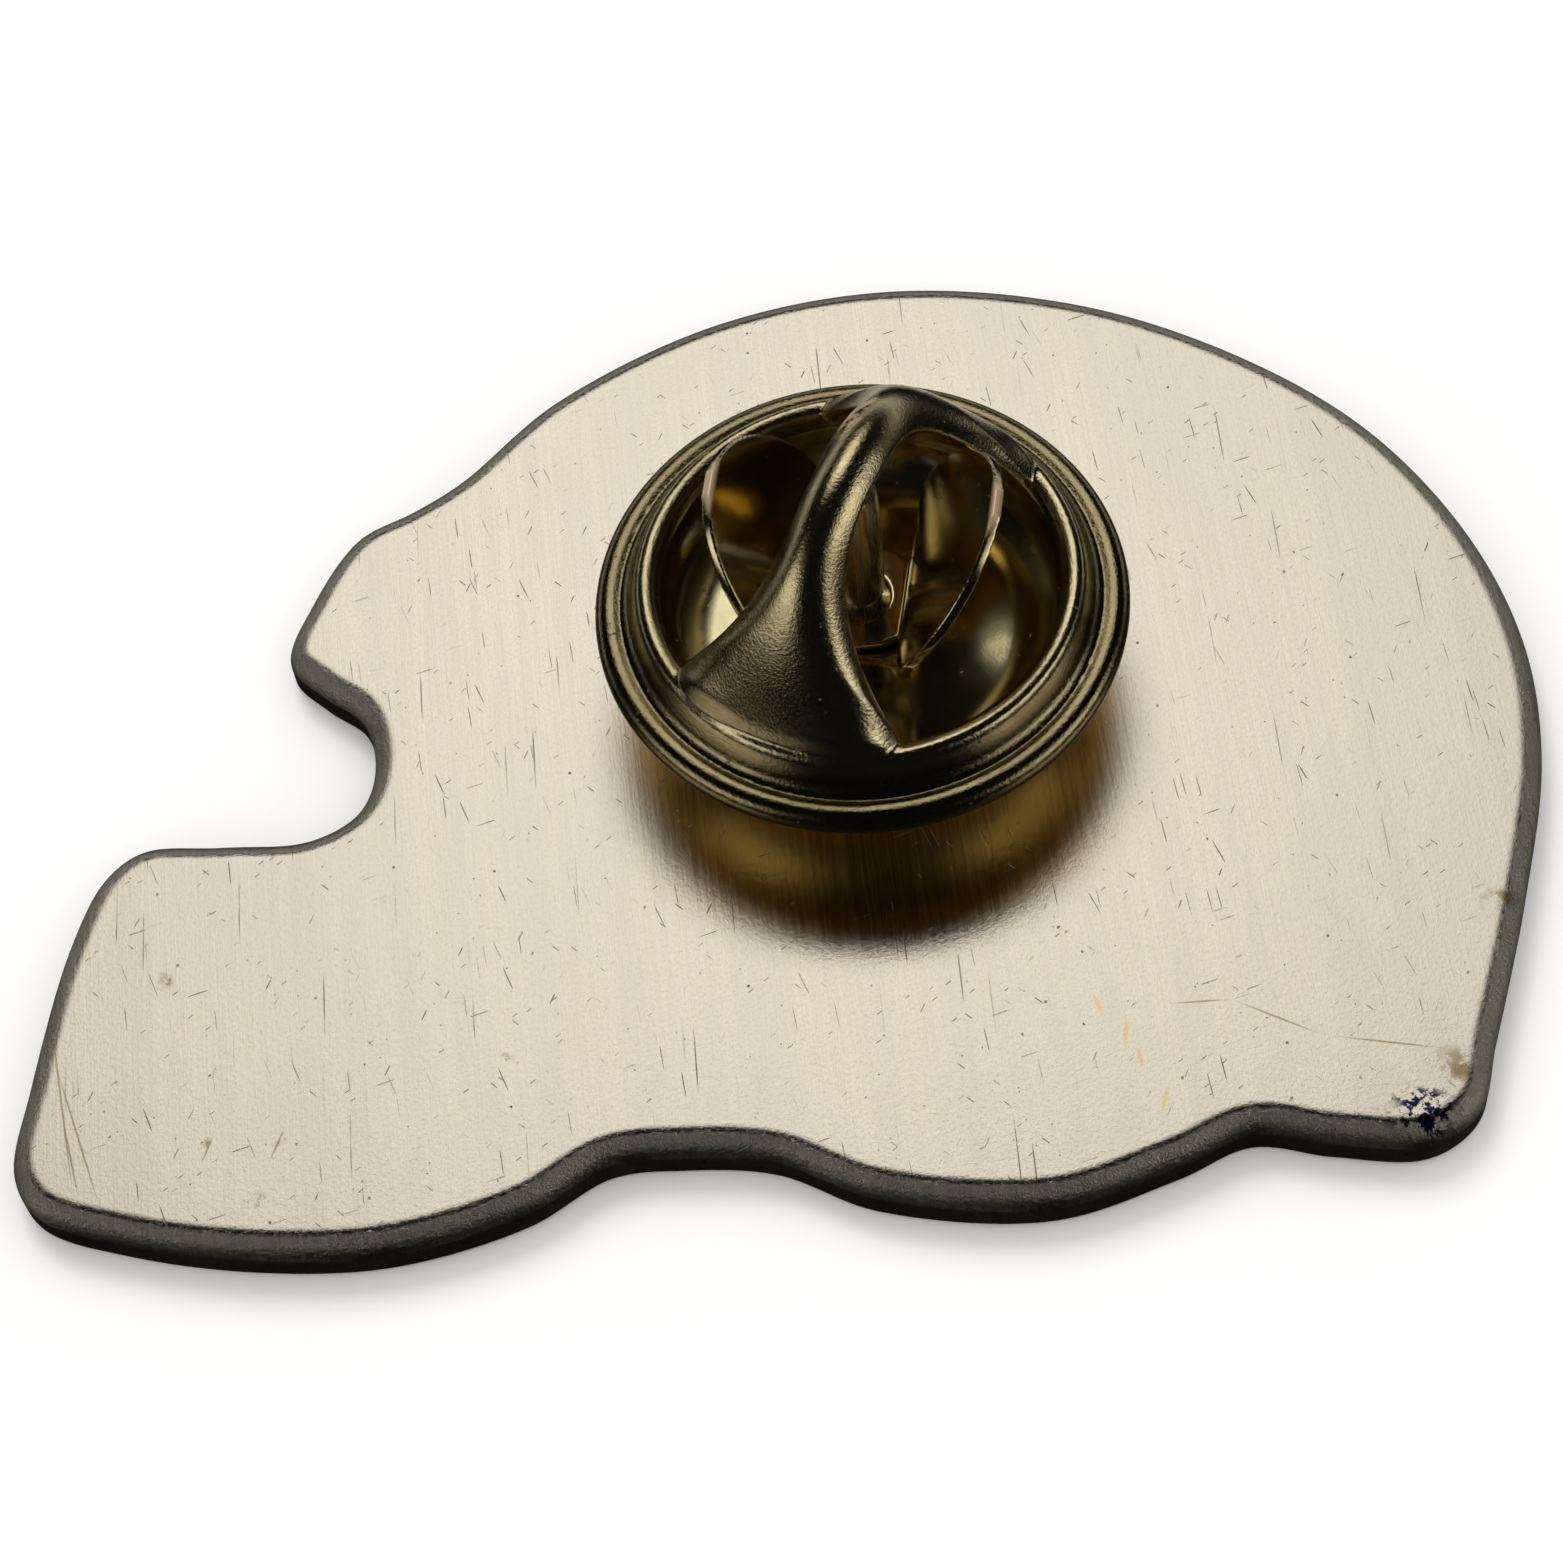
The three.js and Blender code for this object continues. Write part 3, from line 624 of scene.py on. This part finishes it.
# ---- Material helpers -------------------------------------------------------------------------
class Nodes:
    """Short names for building one material's node tree."""

    def __init__(self, name):
        self.material = bpy.data.materials.new(name)
        self.material.use_nodes = True
        self.tree = self.material.node_tree
        self.shader = self.tree.nodes["Principled BSDF"]
        self.place = self.tree.nodes.new("ShaderNodeTexCoord").outputs["Object"]

    def link(self, source, target):
        self.tree.links.new(source, target)

    def put(self, socket, value):
        if isinstance(value, bpy.types.NodeSocket):
            self.link(value, socket)
        else:
            socket.default_value = value

    def math(self, operation, a, b=0.0, clamp=False):
        node = self.tree.nodes.new("ShaderNodeMath")
        node.operation = operation
        node.use_clamp = clamp
        self.put(node.inputs[0], a)
        self.put(node.inputs[1], b)
        return node.outputs[0]

    def mapped(self, scale, turn=0.0, shift=(0, 0, 0), place=None):
        node = self.tree.nodes.new("ShaderNodeMapping")
        node.inputs["Scale"].default_value = scale
        node.inputs["Rotation"].default_value = (0, 0, turn)
        node.inputs["Location"].default_value = shift
        self.link(place or self.place, node.inputs["Vector"])
        return node.outputs["Vector"]

    def noise(self, where, detail=3.0, rough=0.5):
        node = self.tree.nodes.new("ShaderNodeTexNoise")
        node.inputs["Scale"].default_value = 1.0
        node.inputs["Detail"].default_value = detail
        node.inputs["Roughness"].default_value = rough
        self.link(where, node.inputs["Vector"])
        return node.outputs["Fac"]

    def ramp(self, value, low, high, to_low=0.0, to_high=1.0):
        node = self.tree.nodes.new("ShaderNodeMapRange")
        node.interpolation_type = "SMOOTHSTEP"
        node.inputs["From Min"].default_value = low
        node.inputs["From Max"].default_value = high
        node.inputs["To Min"].default_value = to_low
        node.inputs["To Max"].default_value = to_high
        self.put(node.inputs["Value"], value)
        return node.outputs["Result"]

    def mix(self, factor, a, b):
        node = self.tree.nodes.new("ShaderNodeMix")
        node.data_type = "RGBA"
        self.put(node.inputs[0], factor)
        for socket, value in ((node.inputs[6], a), (node.inputs[7], b)):
            self.put(socket, value if isinstance(value, bpy.types.NodeSocket) else (*value, 1))
        return node.outputs[2]

    def spot(self, centre, radius, soft, wobble=0.0, stretch=(1, 1)):
        """1 inside a blot on the XY plane around centre, in millimetres, 0 outside."""
        shift = (-centre[0] * MM * stretch[0], -centre[1] * MM * stretch[1], 0)
        where = self.mapped((stretch[0], stretch[1], 0), shift=shift)
        length = self.tree.nodes.new("ShaderNodeVectorMath")
        length.operation = "LENGTH"
        self.link(where, length.inputs[0])
        far = length.outputs["Value"]
        if wobble:
            rough = self.math("SUBTRACT", self.noise(self.mapped((2600, 2600, 2600)), detail=4), 0.5)
            far = self.math("ADD", far, self.math("MULTIPLY", rough, wobble * MM))
        return self.ramp(far, radius * MM, (radius - soft) * MM)

    def rubbed(self, low, high):
        """0 below a height over the back of the plate, 1 above another one, in millimetres."""
        split = self.tree.nodes.new("ShaderNodeSeparateXYZ")
        self.link(self.place, split.inputs[0])
        heights = ((PLATE_THICKNESS + level) * MM for level in (low, high))
        return self.ramp(split.outputs["Z"], *heights)

    def stroke(self, centre, turn, half_width, half_length, wobble=0.0):
        """1 on a thin straight mark on the XY plane; sizes in millimetres, turn from Y."""
        move = self.mapped((1, 1, 0), shift=(-centre[0] * MM, -centre[1] * MM, 0))
        turned_place = self.mapped((1, 1, 0), turn=turn, place=move)
        flat = self.mapped((1 / half_width, 1 / half_length, 0), place=turned_place)
        far = self.tree.nodes.new("ShaderNodeVectorMath")
        far.operation = "LENGTH"
        self.link(flat, far.inputs[0])
        length = far.outputs["Value"]
        if wobble:
            rough = self.math("SUBTRACT", self.noise(self.mapped((1900, 1900, 1900)), detail=4), 0.5)
            length = self.math("ADD", length, self.math("MULTIPLY", rough, wobble * MM))
        return self.ramp(length, 1.0 * MM, 0.3 * MM)

    def bump(self, height, distance, before=None):
        node = self.tree.nodes.new("ShaderNodeBump")
        node.inputs["Strength"].default_value = 1.0
        node.inputs["Distance"].default_value = distance
        self.put(node.inputs["Height"], height)
        if before is not None:
            self.link(before, node.inputs["Normal"])
        return node.outputs["Normal"]

    def finish(self, colour, roughness, normal=None, metallic=1.0):
        self.put(self.shader.inputs["Metallic"], metallic)
        self.put(self.shader.inputs["Roughness"], roughness)
        if isinstance(colour, bpy.types.NodeSocket):
            self.link(colour, self.shader.inputs["Base Color"])
        else:
            self.shader.inputs["Base Color"].default_value = (*colour, 1)
        if normal is not None:
            self.link(normal, self.shader.inputs["Normal"])
        return self.material


def scratches(n, turn, width, length, density, shift):
    """Sparse thin marks that all run one way; sizes in millimetres, the way is in radians from Y."""
    turned_place = n.mapped((1, 1, 1), turn=turn)
    where = n.mapped((1000 / width, 1000 / length, 1), shift=shift, place=turned_place)
    cells = n.tree.nodes.new("ShaderNodeTexVoronoi")
    cells.voronoi_dimensions = "2D"
    cells.feature = "F1"
    cells.inputs["Scale"].default_value = 1.0
    cells.inputs["Randomness"].default_value = 1.0
    n.link(where, cells.inputs["Vector"])
    lottery = n.tree.nodes.new("ShaderNodeSeparateColor")
    n.link(cells.outputs["Color"], lottery.inputs["Color"])
    chosen = n.math("LESS_THAN", lottery.outputs["Red"], density)
    core = n.ramp(cells.outputs["Distance"], 0.34, 0.16)
    depth = n.math("MULTIPLY", lottery.outputs["Green"], core)
    return n.math("MULTIPLY", depth, chosen)


def all_scratches(n, families):
    marks = scratches(n, *families[0])
    for family in families[1:]:
        marks = n.math("MAXIMUM", marks, scratches(n, *family))
    return marks


# ---- Marks on the back of the plate, in millimetres; a turn is in radians from Y ---------------
SCRATCHES = [  # turn, width, length, share of the cells that hold one, shift of the pattern
    (0.03, 0.045, 2.6, 0.012, (3, 5, 0)),
    (-0.06, 0.035, 1.0, 0.012, (1, 2, 0)),
    (0.5, 0.042, 0.45, 0.006, (5, 1, 0)),
    (-0.75, 0.040, 0.35, 0.006, (2, 9, 0)),
    (1.35, 0.04, 0.7, 0.006, (8, 4, 0)),
    (-0.3, 0.04, 1.0, 0.007, (4, 7, 0)),
    (1.0, 0.034, 0.25, 0.008, (9, 2, 0)),
]
PITS = [(0.4, 0.09, 0.11, 0.0016, (7, 3, 0)), (0, 0.055, 0.06, 0.002, (1, 8, 0))]
STAINS = [  # centre, radius
    ((-13.35, -4.3), 0.22), ((-11.1, -8.45), 0.2), ((-11.6, -9.7), 0.26), ((-12.6, -8.3), 0.2),
    ((13.1, -10.3), 0.75), ((14.8, -6.6), 0.5), ((-6.3, -7.2), 0.16),
]
FLECKS = [  # x, y, turn, half length
    (6.1, -7.8, -0.25, 0.35), (6.55, -8.5, 0.2, 0.45), (6.75, -9.1, -0.1, 0.3), (7.1, -10.1, 0.4, 0.4),
]
FLECK_HALF_WIDTH = 0.07
GOUGES = [  # x, y, turn, half length
    (-15.62, -7.0, -0.10, 2.5), (-15.3, -7.7, -0.25, 2.1), (-15.45, -8.2, -0.16, 1.1),
    (-11.15, -8.5, 0.45, 0.5), (-12.6, -8.4, 0.4, 0.4), (9.7, -8.6, -1.0, 1.15),
    (11.85, -9.5, -1.3, 1.3), (8.2, -8.0, -1.5, 0.7),
]
GOUGE_HALF_WIDTH = 0.032
PAINT_CENTRE = (12.2, -11.15)
PAINT_RADIUS = 0.75


# ---- Materials --------------------------------------------------------------------------------
PALE_METAL = (0.80, 0.735, 0.61)
BRASS = (0.64, 0.55, 0.33)
CUP_BRASS = (0.66, 0.60, 0.36)
# Painted reflection: amber for the clutch faces that look down, standing in for light bounced between the
# brass and the plate.
PAINTED_AMBER_BRASS = (0.88, 0.62, 0.19)
COPPER = (0.50, 0.33, 0.22)


def brushed_back():
    n = Nodes("brushed_back")
    flat = n.rubbed(-0.035, -0.0005)
    wide = n.noise(n.mapped((1500, 40, 1)), detail=4, rough=0.6)
    broad = n.noise(n.mapped((9500, 110, 1), shift=(2, 3, 0)), detail=3, rough=0.65)
    fine = n.noise(n.mapped((21000, 420, 1), shift=(3, 7, 0)), detail=2, rough=0.6)
    grains = n.noise(n.mapped((17000, 12000, 1), shift=(6, 1, 0)), detail=2, rough=0.6)
    sand = n.noise(n.mapped((10500, 10500, 10500)), detail=3, rough=0.7)
    clouds = n.noise(n.mapped((150, 110, 1)), detail=4)
    clusters = n.noise(n.mapped((420, 360, 1), shift=(8, 8, 0)), detail=3)
    lines = n.math("ADD", n.math("MULTIPLY", broad, 0.6), n.math("MULTIPLY", fine, 0.4))

    marks = all_scratches(n, SCRATCHES)
    marks = n.math("MULTIPLY", marks, n.ramp(clusters, 0.38, 0.62, 0.12, 1.0))
    pits = all_scratches(n, PITS)

    colour = n.mix(n.ramp(wide, 0.36, 0.64), (0.755, 0.695, 0.585), PALE_METAL)
    colour = n.mix(n.ramp(lines, 0.60, 0.40, 0.0, 0.5), colour, (0.53, 0.485, 0.39))
    colour = n.mix(n.ramp(grains, 0.56, 0.36, 0.0, 0.22), colour, (0.50, 0.455, 0.36))
    colour = n.mix(n.ramp(clouds, 0.62, 0.38, 0.0, 0.25), colour, (0.63, 0.59, 0.50))
    colour = n.mix(n.math("MULTIPLY", marks, 0.7), colour, (0.24, 0.20, 0.13))
    colour = n.mix(n.math("MULTIPLY", pits, 0.9), colour, (0.13, 0.12, 0.085))
    blotches = n.noise(n.mapped((2100, 2100, 1), shift=(9, 0, 0)), detail=4, rough=0.7)
    patchy = n.ramp(blotches, 0.44, 0.58)
    for centre, radius in STAINS:
        stain = n.math("MULTIPLY", n.spot(centre, radius, radius * 0.9, wobble=0.6), patchy)
        colour = n.mix(stain, colour, (0.30, 0.225, 0.12))
    for x, y, turn, length in FLECKS:
        fleck = n.stroke((x, y), turn, FLECK_HALF_WIDTH, length, wobble=0.9)
        colour = n.mix(n.math("MULTIPLY", fleck, 0.7), colour, (0.68, 0.50, 0.20))
    for x, y, turn, length in GOUGES:
        gouge = n.stroke((x, y), turn, GOUGE_HALF_WIDTH, length)
        colour = n.mix(n.math("MULTIPLY", gouge, 0.75), colour, (0.27, 0.19, 0.09))
    flakes = n.noise(n.mapped((2900, 2900, 1), shift=(3, 0, 0)), detail=5, rough=0.7)
    flaking = n.ramp(flakes, 0.50, 0.53)
    paint = n.spot(PAINT_CENTRE, PAINT_RADIUS, 0.35, wobble=0.8, stretch=(0.8, 1.1))
    colour = n.mix(n.math("MULTIPLY", paint, flaking), colour, (0.012, 0.016, 0.05))

    worn = n.math("ADD", n.math("MULTIPLY", marks, 0.2), n.ramp(lines, 0.3, 0.7, 0.19, 0.27))
    worn = n.math("ADD", worn, n.math("MULTIPLY", n.math("SUBTRACT", 1.0, flat), 0.17))
    rough_edge = n.math("MULTIPLY", n.math("SUBTRACT", sand, 0.5), n.math("SUBTRACT", 1.12, flat))
    normal = n.bump(lines, 0.0000030)
    normal = n.bump(grains, 0.0000011, before=normal)
    normal = n.bump(rough_edge, 0.000036, before=normal)
    normal = n.bump(n.math("MULTIPLY", marks, -1.0), 0.000006, before=normal)
    normal = n.bump(n.math("MULTIPLY", pits, -1.0), 0.000012, before=normal)
    n.shader.inputs["Anisotropic"].default_value = 0.8
    tangent = n.tree.nodes.new("ShaderNodeTangent")
    tangent.direction_type = "UV_MAP"
    tangent.uv_map = "across_grain"
    n.link(tangent.outputs["Tangent"], n.shader.inputs["Tangent"])
    return n.finish(colour, worn, normal)


def struck_edge():
    n = Nodes("struck_edge")
    cast = n.noise(n.mapped((5200, 5200, 5200)), detail=6, rough=0.65)
    clouds = n.noise(n.mapped((420, 420, 420)), detail=3)
    colour = n.mix(n.ramp(clouds, 0.35, 0.7), (0.52, 0.47, 0.37), (0.72, 0.66, 0.53))
    colour = n.mix(n.ramp(cast, 0.62, 0.72), colour, (0.24, 0.20, 0.14))
    return n.finish(colour, n.ramp(cast, 0.3, 0.7, 0.28, 0.46), n.bump(cast, 0.000014))


def painted_amber_underside():
    """Painted reflection: a deeper amber copy of the brass for the undersides of the clutch, standing in
    for light bounced between the brass and the plate.
    """
    n, colour, roughness, normal = clutch_metal("painted_amber_underside", PAINTED_AMBER_BRASS, (0.10, 0.18), 0.0000010)
    return n.finish(colour, roughness, normal)


def clutch_metal(name, base, roughness, sand_depth):
    """Brass with tarnish, pits and a sandy skin; returns what each look builds on."""
    n = Nodes(name)
    sand = n.noise(n.mapped((15000, 15000, 15000)), detail=3, rough=0.6)
    waves = n.noise(n.mapped((700, 700, 700)), detail=2)
    tarnish = n.noise(n.mapped((330, 330, 330)), detail=5, rough=0.6)
    pits = n.ramp(n.noise(n.mapped((5200, 5200, 5200), shift=(4, 2, 9)), detail=3), 0.70, 0.76)
    dull = tuple(c * share for c, share in zip(base, (0.72, 0.69, 0.60)))
    colour = n.mix(n.ramp(tarnish, 0.42, 0.68), base, dull)
    colour = n.mix(n.math("MULTIPLY", pits, 0.6), colour, (0.10, 0.08, 0.045))
    rough = n.math("ADD", n.ramp(tarnish, 0.35, 0.7, *roughness), n.math("MULTIPLY", pits, 0.2))
    normal = n.bump(waves, 0.000014)
    normal = n.bump(sand, sand_depth, before=normal)
    normal = n.bump(n.math("MULTIPLY", pits, -1.0), 0.000006, before=normal)
    return n, colour, rough, normal


def cap_metal():
    n, colour, roughness, normal = clutch_metal("cap_metal", BRASS, (0.14, 0.22), 0.0000095)
    # Painted shade: the outer bead and every part of the cap lower than the groove are darkened towards
    # olive brown, so the rim looks dark there.
    inner = n.spot((POST_X, POST_Y), 5.02, 0.16)
    unshaded_top = n.math("MULTIPLY", inner, n.rubbed(3.0, 3.4))
    painted_shade = n.math("MULTIPLY", n.math("SUBTRACT", 1.0, unshaded_top), 0.8)
    colour = n.mix(painted_shade, colour, (0.25, 0.205, 0.10))
    crest = n.rubbed(6.2, 6.8)
    turn = math.radians(ARCH_ANGLE)
    along = Vector((math.sin(turn), math.cos(turn)))
    beside = Vector((math.cos(turn), -math.sin(turn)))
    middle = Vector((POST_X, POST_Y)) + along * 1.3 - beside * 0.42
    patch = n.stroke(middle, turn, 0.36, 1.05, wobble=0.6)
    rubbing = n.noise(n.mapped((2600, 2600, 2600), shift=(1, 1, 5)), detail=4, rough=0.65)
    speckle = n.ramp(rubbing, 0.4, 0.56)
    worn = n.math("MULTIPLY", n.math("MULTIPLY", patch, crest), speckle)
    colour = n.mix(worn, colour, COPPER)
    roughness = n.math("ADD", roughness, n.math("MULTIPLY", worn, 0.3))
    metallic = n.math("SUBTRACT", 1.0, n.math("MULTIPLY", worn, 0.7))
    return n.finish(colour, roughness, n.bump(worn, 0.000006, before=normal), metallic)


def cup_metal():
    n, colour, roughness, normal = clutch_metal("cup_metal", CUP_BRASS, (0.10, 0.18), 0.0000010)
    return n.finish(colour, roughness, normal)


def wing_metal():
    n, colour, roughness, normal = clutch_metal("wing_metal", BRASS, (0.11, 0.19), 0.0000012)
    edge = n.rubbed(6.45, 6.6)
    colour = n.mix(n.math("MULTIPLY", edge, 0.7), colour, COPPER)
    return n.finish(colour, roughness, normal, n.math("SUBTRACT", 1.0, n.math("MULTIPLY", edge, 0.6)))


def post_metal():
    n = Nodes("post_metal")
    drawn = n.noise(n.mapped((9000, 9000, 300)), detail=3)
    colour = n.mix(n.ramp(drawn, 0.35, 0.7), (0.70, 0.64, 0.50), (0.80, 0.75, 0.62))
    return n.finish(colour, n.ramp(drawn, 0.3, 0.7, 0.2, 0.34), n.bump(drawn, 0.000004))


def solder_metal():
    n = Nodes("solder_metal")
    lumps = n.noise(n.mapped((1500, 1500, 1500)), detail=5)
    colour = n.mix(n.ramp(lumps, 0.4, 0.65), (0.55, 0.54, 0.50), (0.68, 0.67, 0.63))
    return n.finish(colour, n.ramp(lumps, 0.3, 0.7, 0.32, 0.5), n.bump(lumps, 0.00003))


def enamel(name, colour):
    n = Nodes(name)
    ripple = n.noise(n.mapped((380, 380, 380)), detail=2)
    pigment = n.noise(n.mapped((7000, 7000, 7000)), detail=4)
    dust = n.ramp(n.noise(n.mapped((3800, 3800, 3800)), detail=2), 0.76, 0.8)
    deep = tuple(c * 0.82 for c in colour)
    tone = n.mix(n.ramp(pigment, 0.35, 0.65), deep, colour)
    tone = n.mix(n.math("MULTIPLY", dust, 0.25), tone, tuple(min(c + 0.25, 1) for c in colour))
    n.shader.inputs["IOR"].default_value = 1.52
    return n.finish(tone, n.ramp(pigment, 0.3, 0.7, 0.08, 0.14), n.bump(ripple, 0.00002), 0.0)


def across_grain_uv(thing):
    """A UV map whose U runs along X, across the brush lines."""
    layer = thing.data.uv_layers.new(name="across_grain")
    span = PLATE_SIZE[0] * MM
    for loop in thing.data.loops:
        co = thing.data.vertices[loop.vertex_index].co
        layer.data[loop.index].uv = (co.x / span + 0.5, co.y / span + 0.5)


def dress_plate(plate):
    plate.data.materials.append(brushed_back())
    plate.data.materials.append(struck_edge())
    level = (PLATE_THICKNESS - BACK_ROUND) * MM
    for face in plate.data.polygons:
        face.material_index = 0 if face.center.z > level else 1
    across_grain_uv(plate)


def dress_clutch(piece, upper, lower):
    """Faces that look down get the second material."""
    looks_down = -0.12
    piece.data.materials.append(upper)
    piece.data.materials.append(lower)
    for face in piece.data.polygons:
        face.material_index = 1 if face.normal.z < looks_down else 0


def show(piece, body, node, material=None):
    if material:
        piece.data.materials.append(material)
    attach(piece, body)
    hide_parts(node)


# ---- Studio -----------------------------------------------------------------------------------
CAMERA_TARGET = (0.17, -1.35, 1.2)
CAMERA_DISTANCE = 80.5
CAMERA_ELEVATION = 58.3
CAMERA_ROLL = 7.5
CAMERA_LENS = 85.5
SOFT_LEVEL = 0.92  # the world's brightness for matt surfaces and the camera
DARK_LEVEL = 0.006  # what metal reflects where the studio has no panel


def make_camera():
    tilt = math.radians(CAMERA_ELEVATION)
    roll = math.radians(CAMERA_ROLL)
    forward = Vector((0, math.cos(tilt), -math.sin(tilt)))
    level_up = Vector((0, math.sin(tilt), math.cos(tilt)))
    right = math.cos(roll) * Vector((1, 0, 0)) - math.sin(roll) * level_up
    up = math.sin(roll) * Vector((1, 0, 0)) + math.cos(roll) * level_up
    place = (Vector(CAMERA_TARGET) - forward * CAMERA_DISTANCE) * MM
    data = bpy.data.cameras.new("camera")
    data.lens = CAMERA_LENS
    data.clip_start = 0.001
    data.clip_end = 10
    camera = bpy.data.objects.new("camera", data)
    bpy.context.scene.collection.objects.link(camera)
    turn = Matrix((right, up, -forward)).transposed().to_4x4()
    camera.matrix_world = Matrix.Translation(place) @ turn
    bpy.context.scene.camera = camera


def area_light(name, place, size, watts, glossy):
    data = bpy.data.lights.new(name, "AREA")
    data.shape = "RECTANGLE"
    data.size, data.size_y = size
    data.energy = watts
    light = bpy.data.objects.new(name, data)
    light.location = place
    light.rotation_euler = (-Vector(place)).to_track_quat("-Z", "Y").to_euler()
    light.visible_glossy = glossy
    bpy.context.scene.collection.objects.link(light)


def make_world():
    """Soft white light all round for matt surfaces. Metal reflects a darker studio: a window of
    light high at the far side, a low backdrop behind it, and a low panel on each side."""
    world = bpy.data.worlds.new("studio")
    bpy.context.scene.world = world
    world.use_nodes = True
    world.cycles.sampling_method = "NONE"
    tree = world.node_tree
    background = tree.nodes["Background"]
    direction = tree.nodes.new("ShaderNodeTexCoord").outputs["Generated"]

    def calculate(operation, a, b=0.0):
        node = tree.nodes.new("ShaderNodeMath")
        node.operation = operation
        for socket, value in zip(node.inputs, (a, b)):
            if isinstance(value, bpy.types.NodeSocket):
                tree.links.new(value, socket)
            else:
                socket.default_value = value
        return node.outputs[0]

    def along(axis):
        node = tree.nodes.new("ShaderNodeVectorMath")
        node.operation = "DOT_PRODUCT"
        tree.links.new(direction, node.inputs[0])
        node.inputs[1].default_value = axis
        return node.outputs["Value"]

    def fade(value, full, none):
        node = tree.nodes.new("ShaderNodeMapRange")
        node.interpolation_type = "SMOOTHSTEP"
        node.inputs["From Min"].default_value = math.tan(math.radians(none))
        node.inputs["From Max"].default_value = math.tan(math.radians(full))
        tree.links.new(value, node.inputs["Value"])
        return node.outputs["Result"]

    def softbox(azimuth, elevation, wide, high, strength):
        """A bright panel in one direction. wide and high each give the half angles, in degrees,
        where it is still full and where it has faded out. Azimuth 0 is +Y, 90 is +X."""
        turn = Matrix.Rotation(math.radians(-azimuth), 3, "Z")
        turn = turn @ Matrix.Rotation(math.radians(elevation), 3, "X")
        middle = calculate("MAXIMUM", along(turn @ Vector((0, 1, 0))), 0.01)
        beside = calculate("ABSOLUTE", calculate("DIVIDE", along(turn @ Vector((1, 0, 0))), middle))
        above = calculate("ABSOLUTE", calculate("DIVIDE", along(turn @ Vector((0, 0, 1))), middle))
        panel = calculate("MULTIPLY", fade(beside, *wide), fade(above, *high))
        return calculate("MULTIPLY", panel, strength)

    window = softbox(0, 56, (11, 25), (8, 20), 1.3)
    backdrop = softbox(0, 1, (62, 79), (5, 14), 0.5)
    right_side = softbox(112, 20, (12, 28), (5, 15), 1.5)
    left_side = softbox(-112, 20, (12, 28), (5, 15), 1.1)
    reflected = calculate("ADD", DARK_LEVEL, calculate("ADD", window, backdrop))
    reflected = calculate("ADD", reflected, calculate("ADD", right_side, left_side))
    mix = tree.nodes.new("ShaderNodeMix")
    mix.data_type = "FLOAT"
    path = tree.nodes.new("ShaderNodeLightPath")
    tree.links.new(path.outputs["Is Glossy Ray"], mix.inputs[0])
    mix.inputs[2].default_value = SOFT_LEVEL
    tree.links.new(reflected, mix.inputs[3])
    background.inputs["Color"].default_value = (1, 0.985, 0.96, 1)
    tree.links.new(mix.outputs[0], background.inputs["Strength"])


def make_floor():
    half = 1.5
    floor = new_object(
        "floor", [(-half, -half, 0), (half, -half, 0), (half, half, 0), (-half, half, 0)], [[0, 1, 2, 3]]
    )
    floor.location.z = -0.00002
    n = Nodes("pale_floor")
    mottle = n.noise(n.mapped((40, 40, 40)), detail=2)
    tone = n.mix(n.ramp(mottle, 0.3, 0.7), (0.90, 0.90, 0.895), (0.93, 0.93, 0.925))
    n.finish(tone, 0.9, metallic=0.0)
    floor.data.materials.append(n.material)
    floor.visible_glossy = False


# ---- The scene --------------------------------------------------------------------------------
make_camera()
make_world()
make_floor()
area_light("soft_key", (-0.06, 0.22, 0.30), (0.16, 0.16), 0.5, False)
bpy.context.scene.view_settings.view_transform = "Standard"
bpy.context.scene.cycles.glossy_bounces = 10

outline = helmet_outline()
plate = make_plate(outline)
dress_plate(plate)
show(plate, "pin", "struck_body")

FILL_LOOKS = {
    "shell": ("navy_enamel", enamel("navy_enamel", (0.016, 0.028, 0.095))),
    "stripe": ("white_enamel", enamel("white_enamel", (0.80, 0.79, 0.75))),
    "ear": ("dark_enamel", enamel("dark_enamel", (0.012, 0.012, 0.014))),
    "guard": ("grey_enamel", enamel("grey_enamel", (0.30, 0.325, 0.35))),
}
for node, fill in make_fills(outline).items():
    slot_name, look = FILL_LOOKS[node.split("_")[0]]
    show(fill, "pin", node, look)

show(make_post(), "pin", "post", post_metal())
show(make_solder(), "pin", "solder_fillet", solder_metal())
cup = make_cup()
cap = make_cap()
# Painted reflection: the faces of the cup and cap that look down get the deeper amber copy of the brass.
painted_underside = painted_amber_underside()
dress_clutch(cup, cup_metal(), painted_underside)
dress_clutch(cap, cap_metal(), painted_underside)
show(cup, "clutch_base", "clutch_cup")
show(cap, "clutch_top", "clutch_cap")
wing_look = wing_metal()
for name, body, node, foot, window, degrees in (
    ("right_wing_spring", "right_wing", "wing_leaf_right", LOW_FOOT, True, -WING_ANGLE),
    ("left_wing_spring", "left_wing", "wing_leaf_left", HIGH_FOOT, False, 180 - WING_ANGLE),
):
    show(make_wing(name, foot, window, degrees), body, node, wing_look)
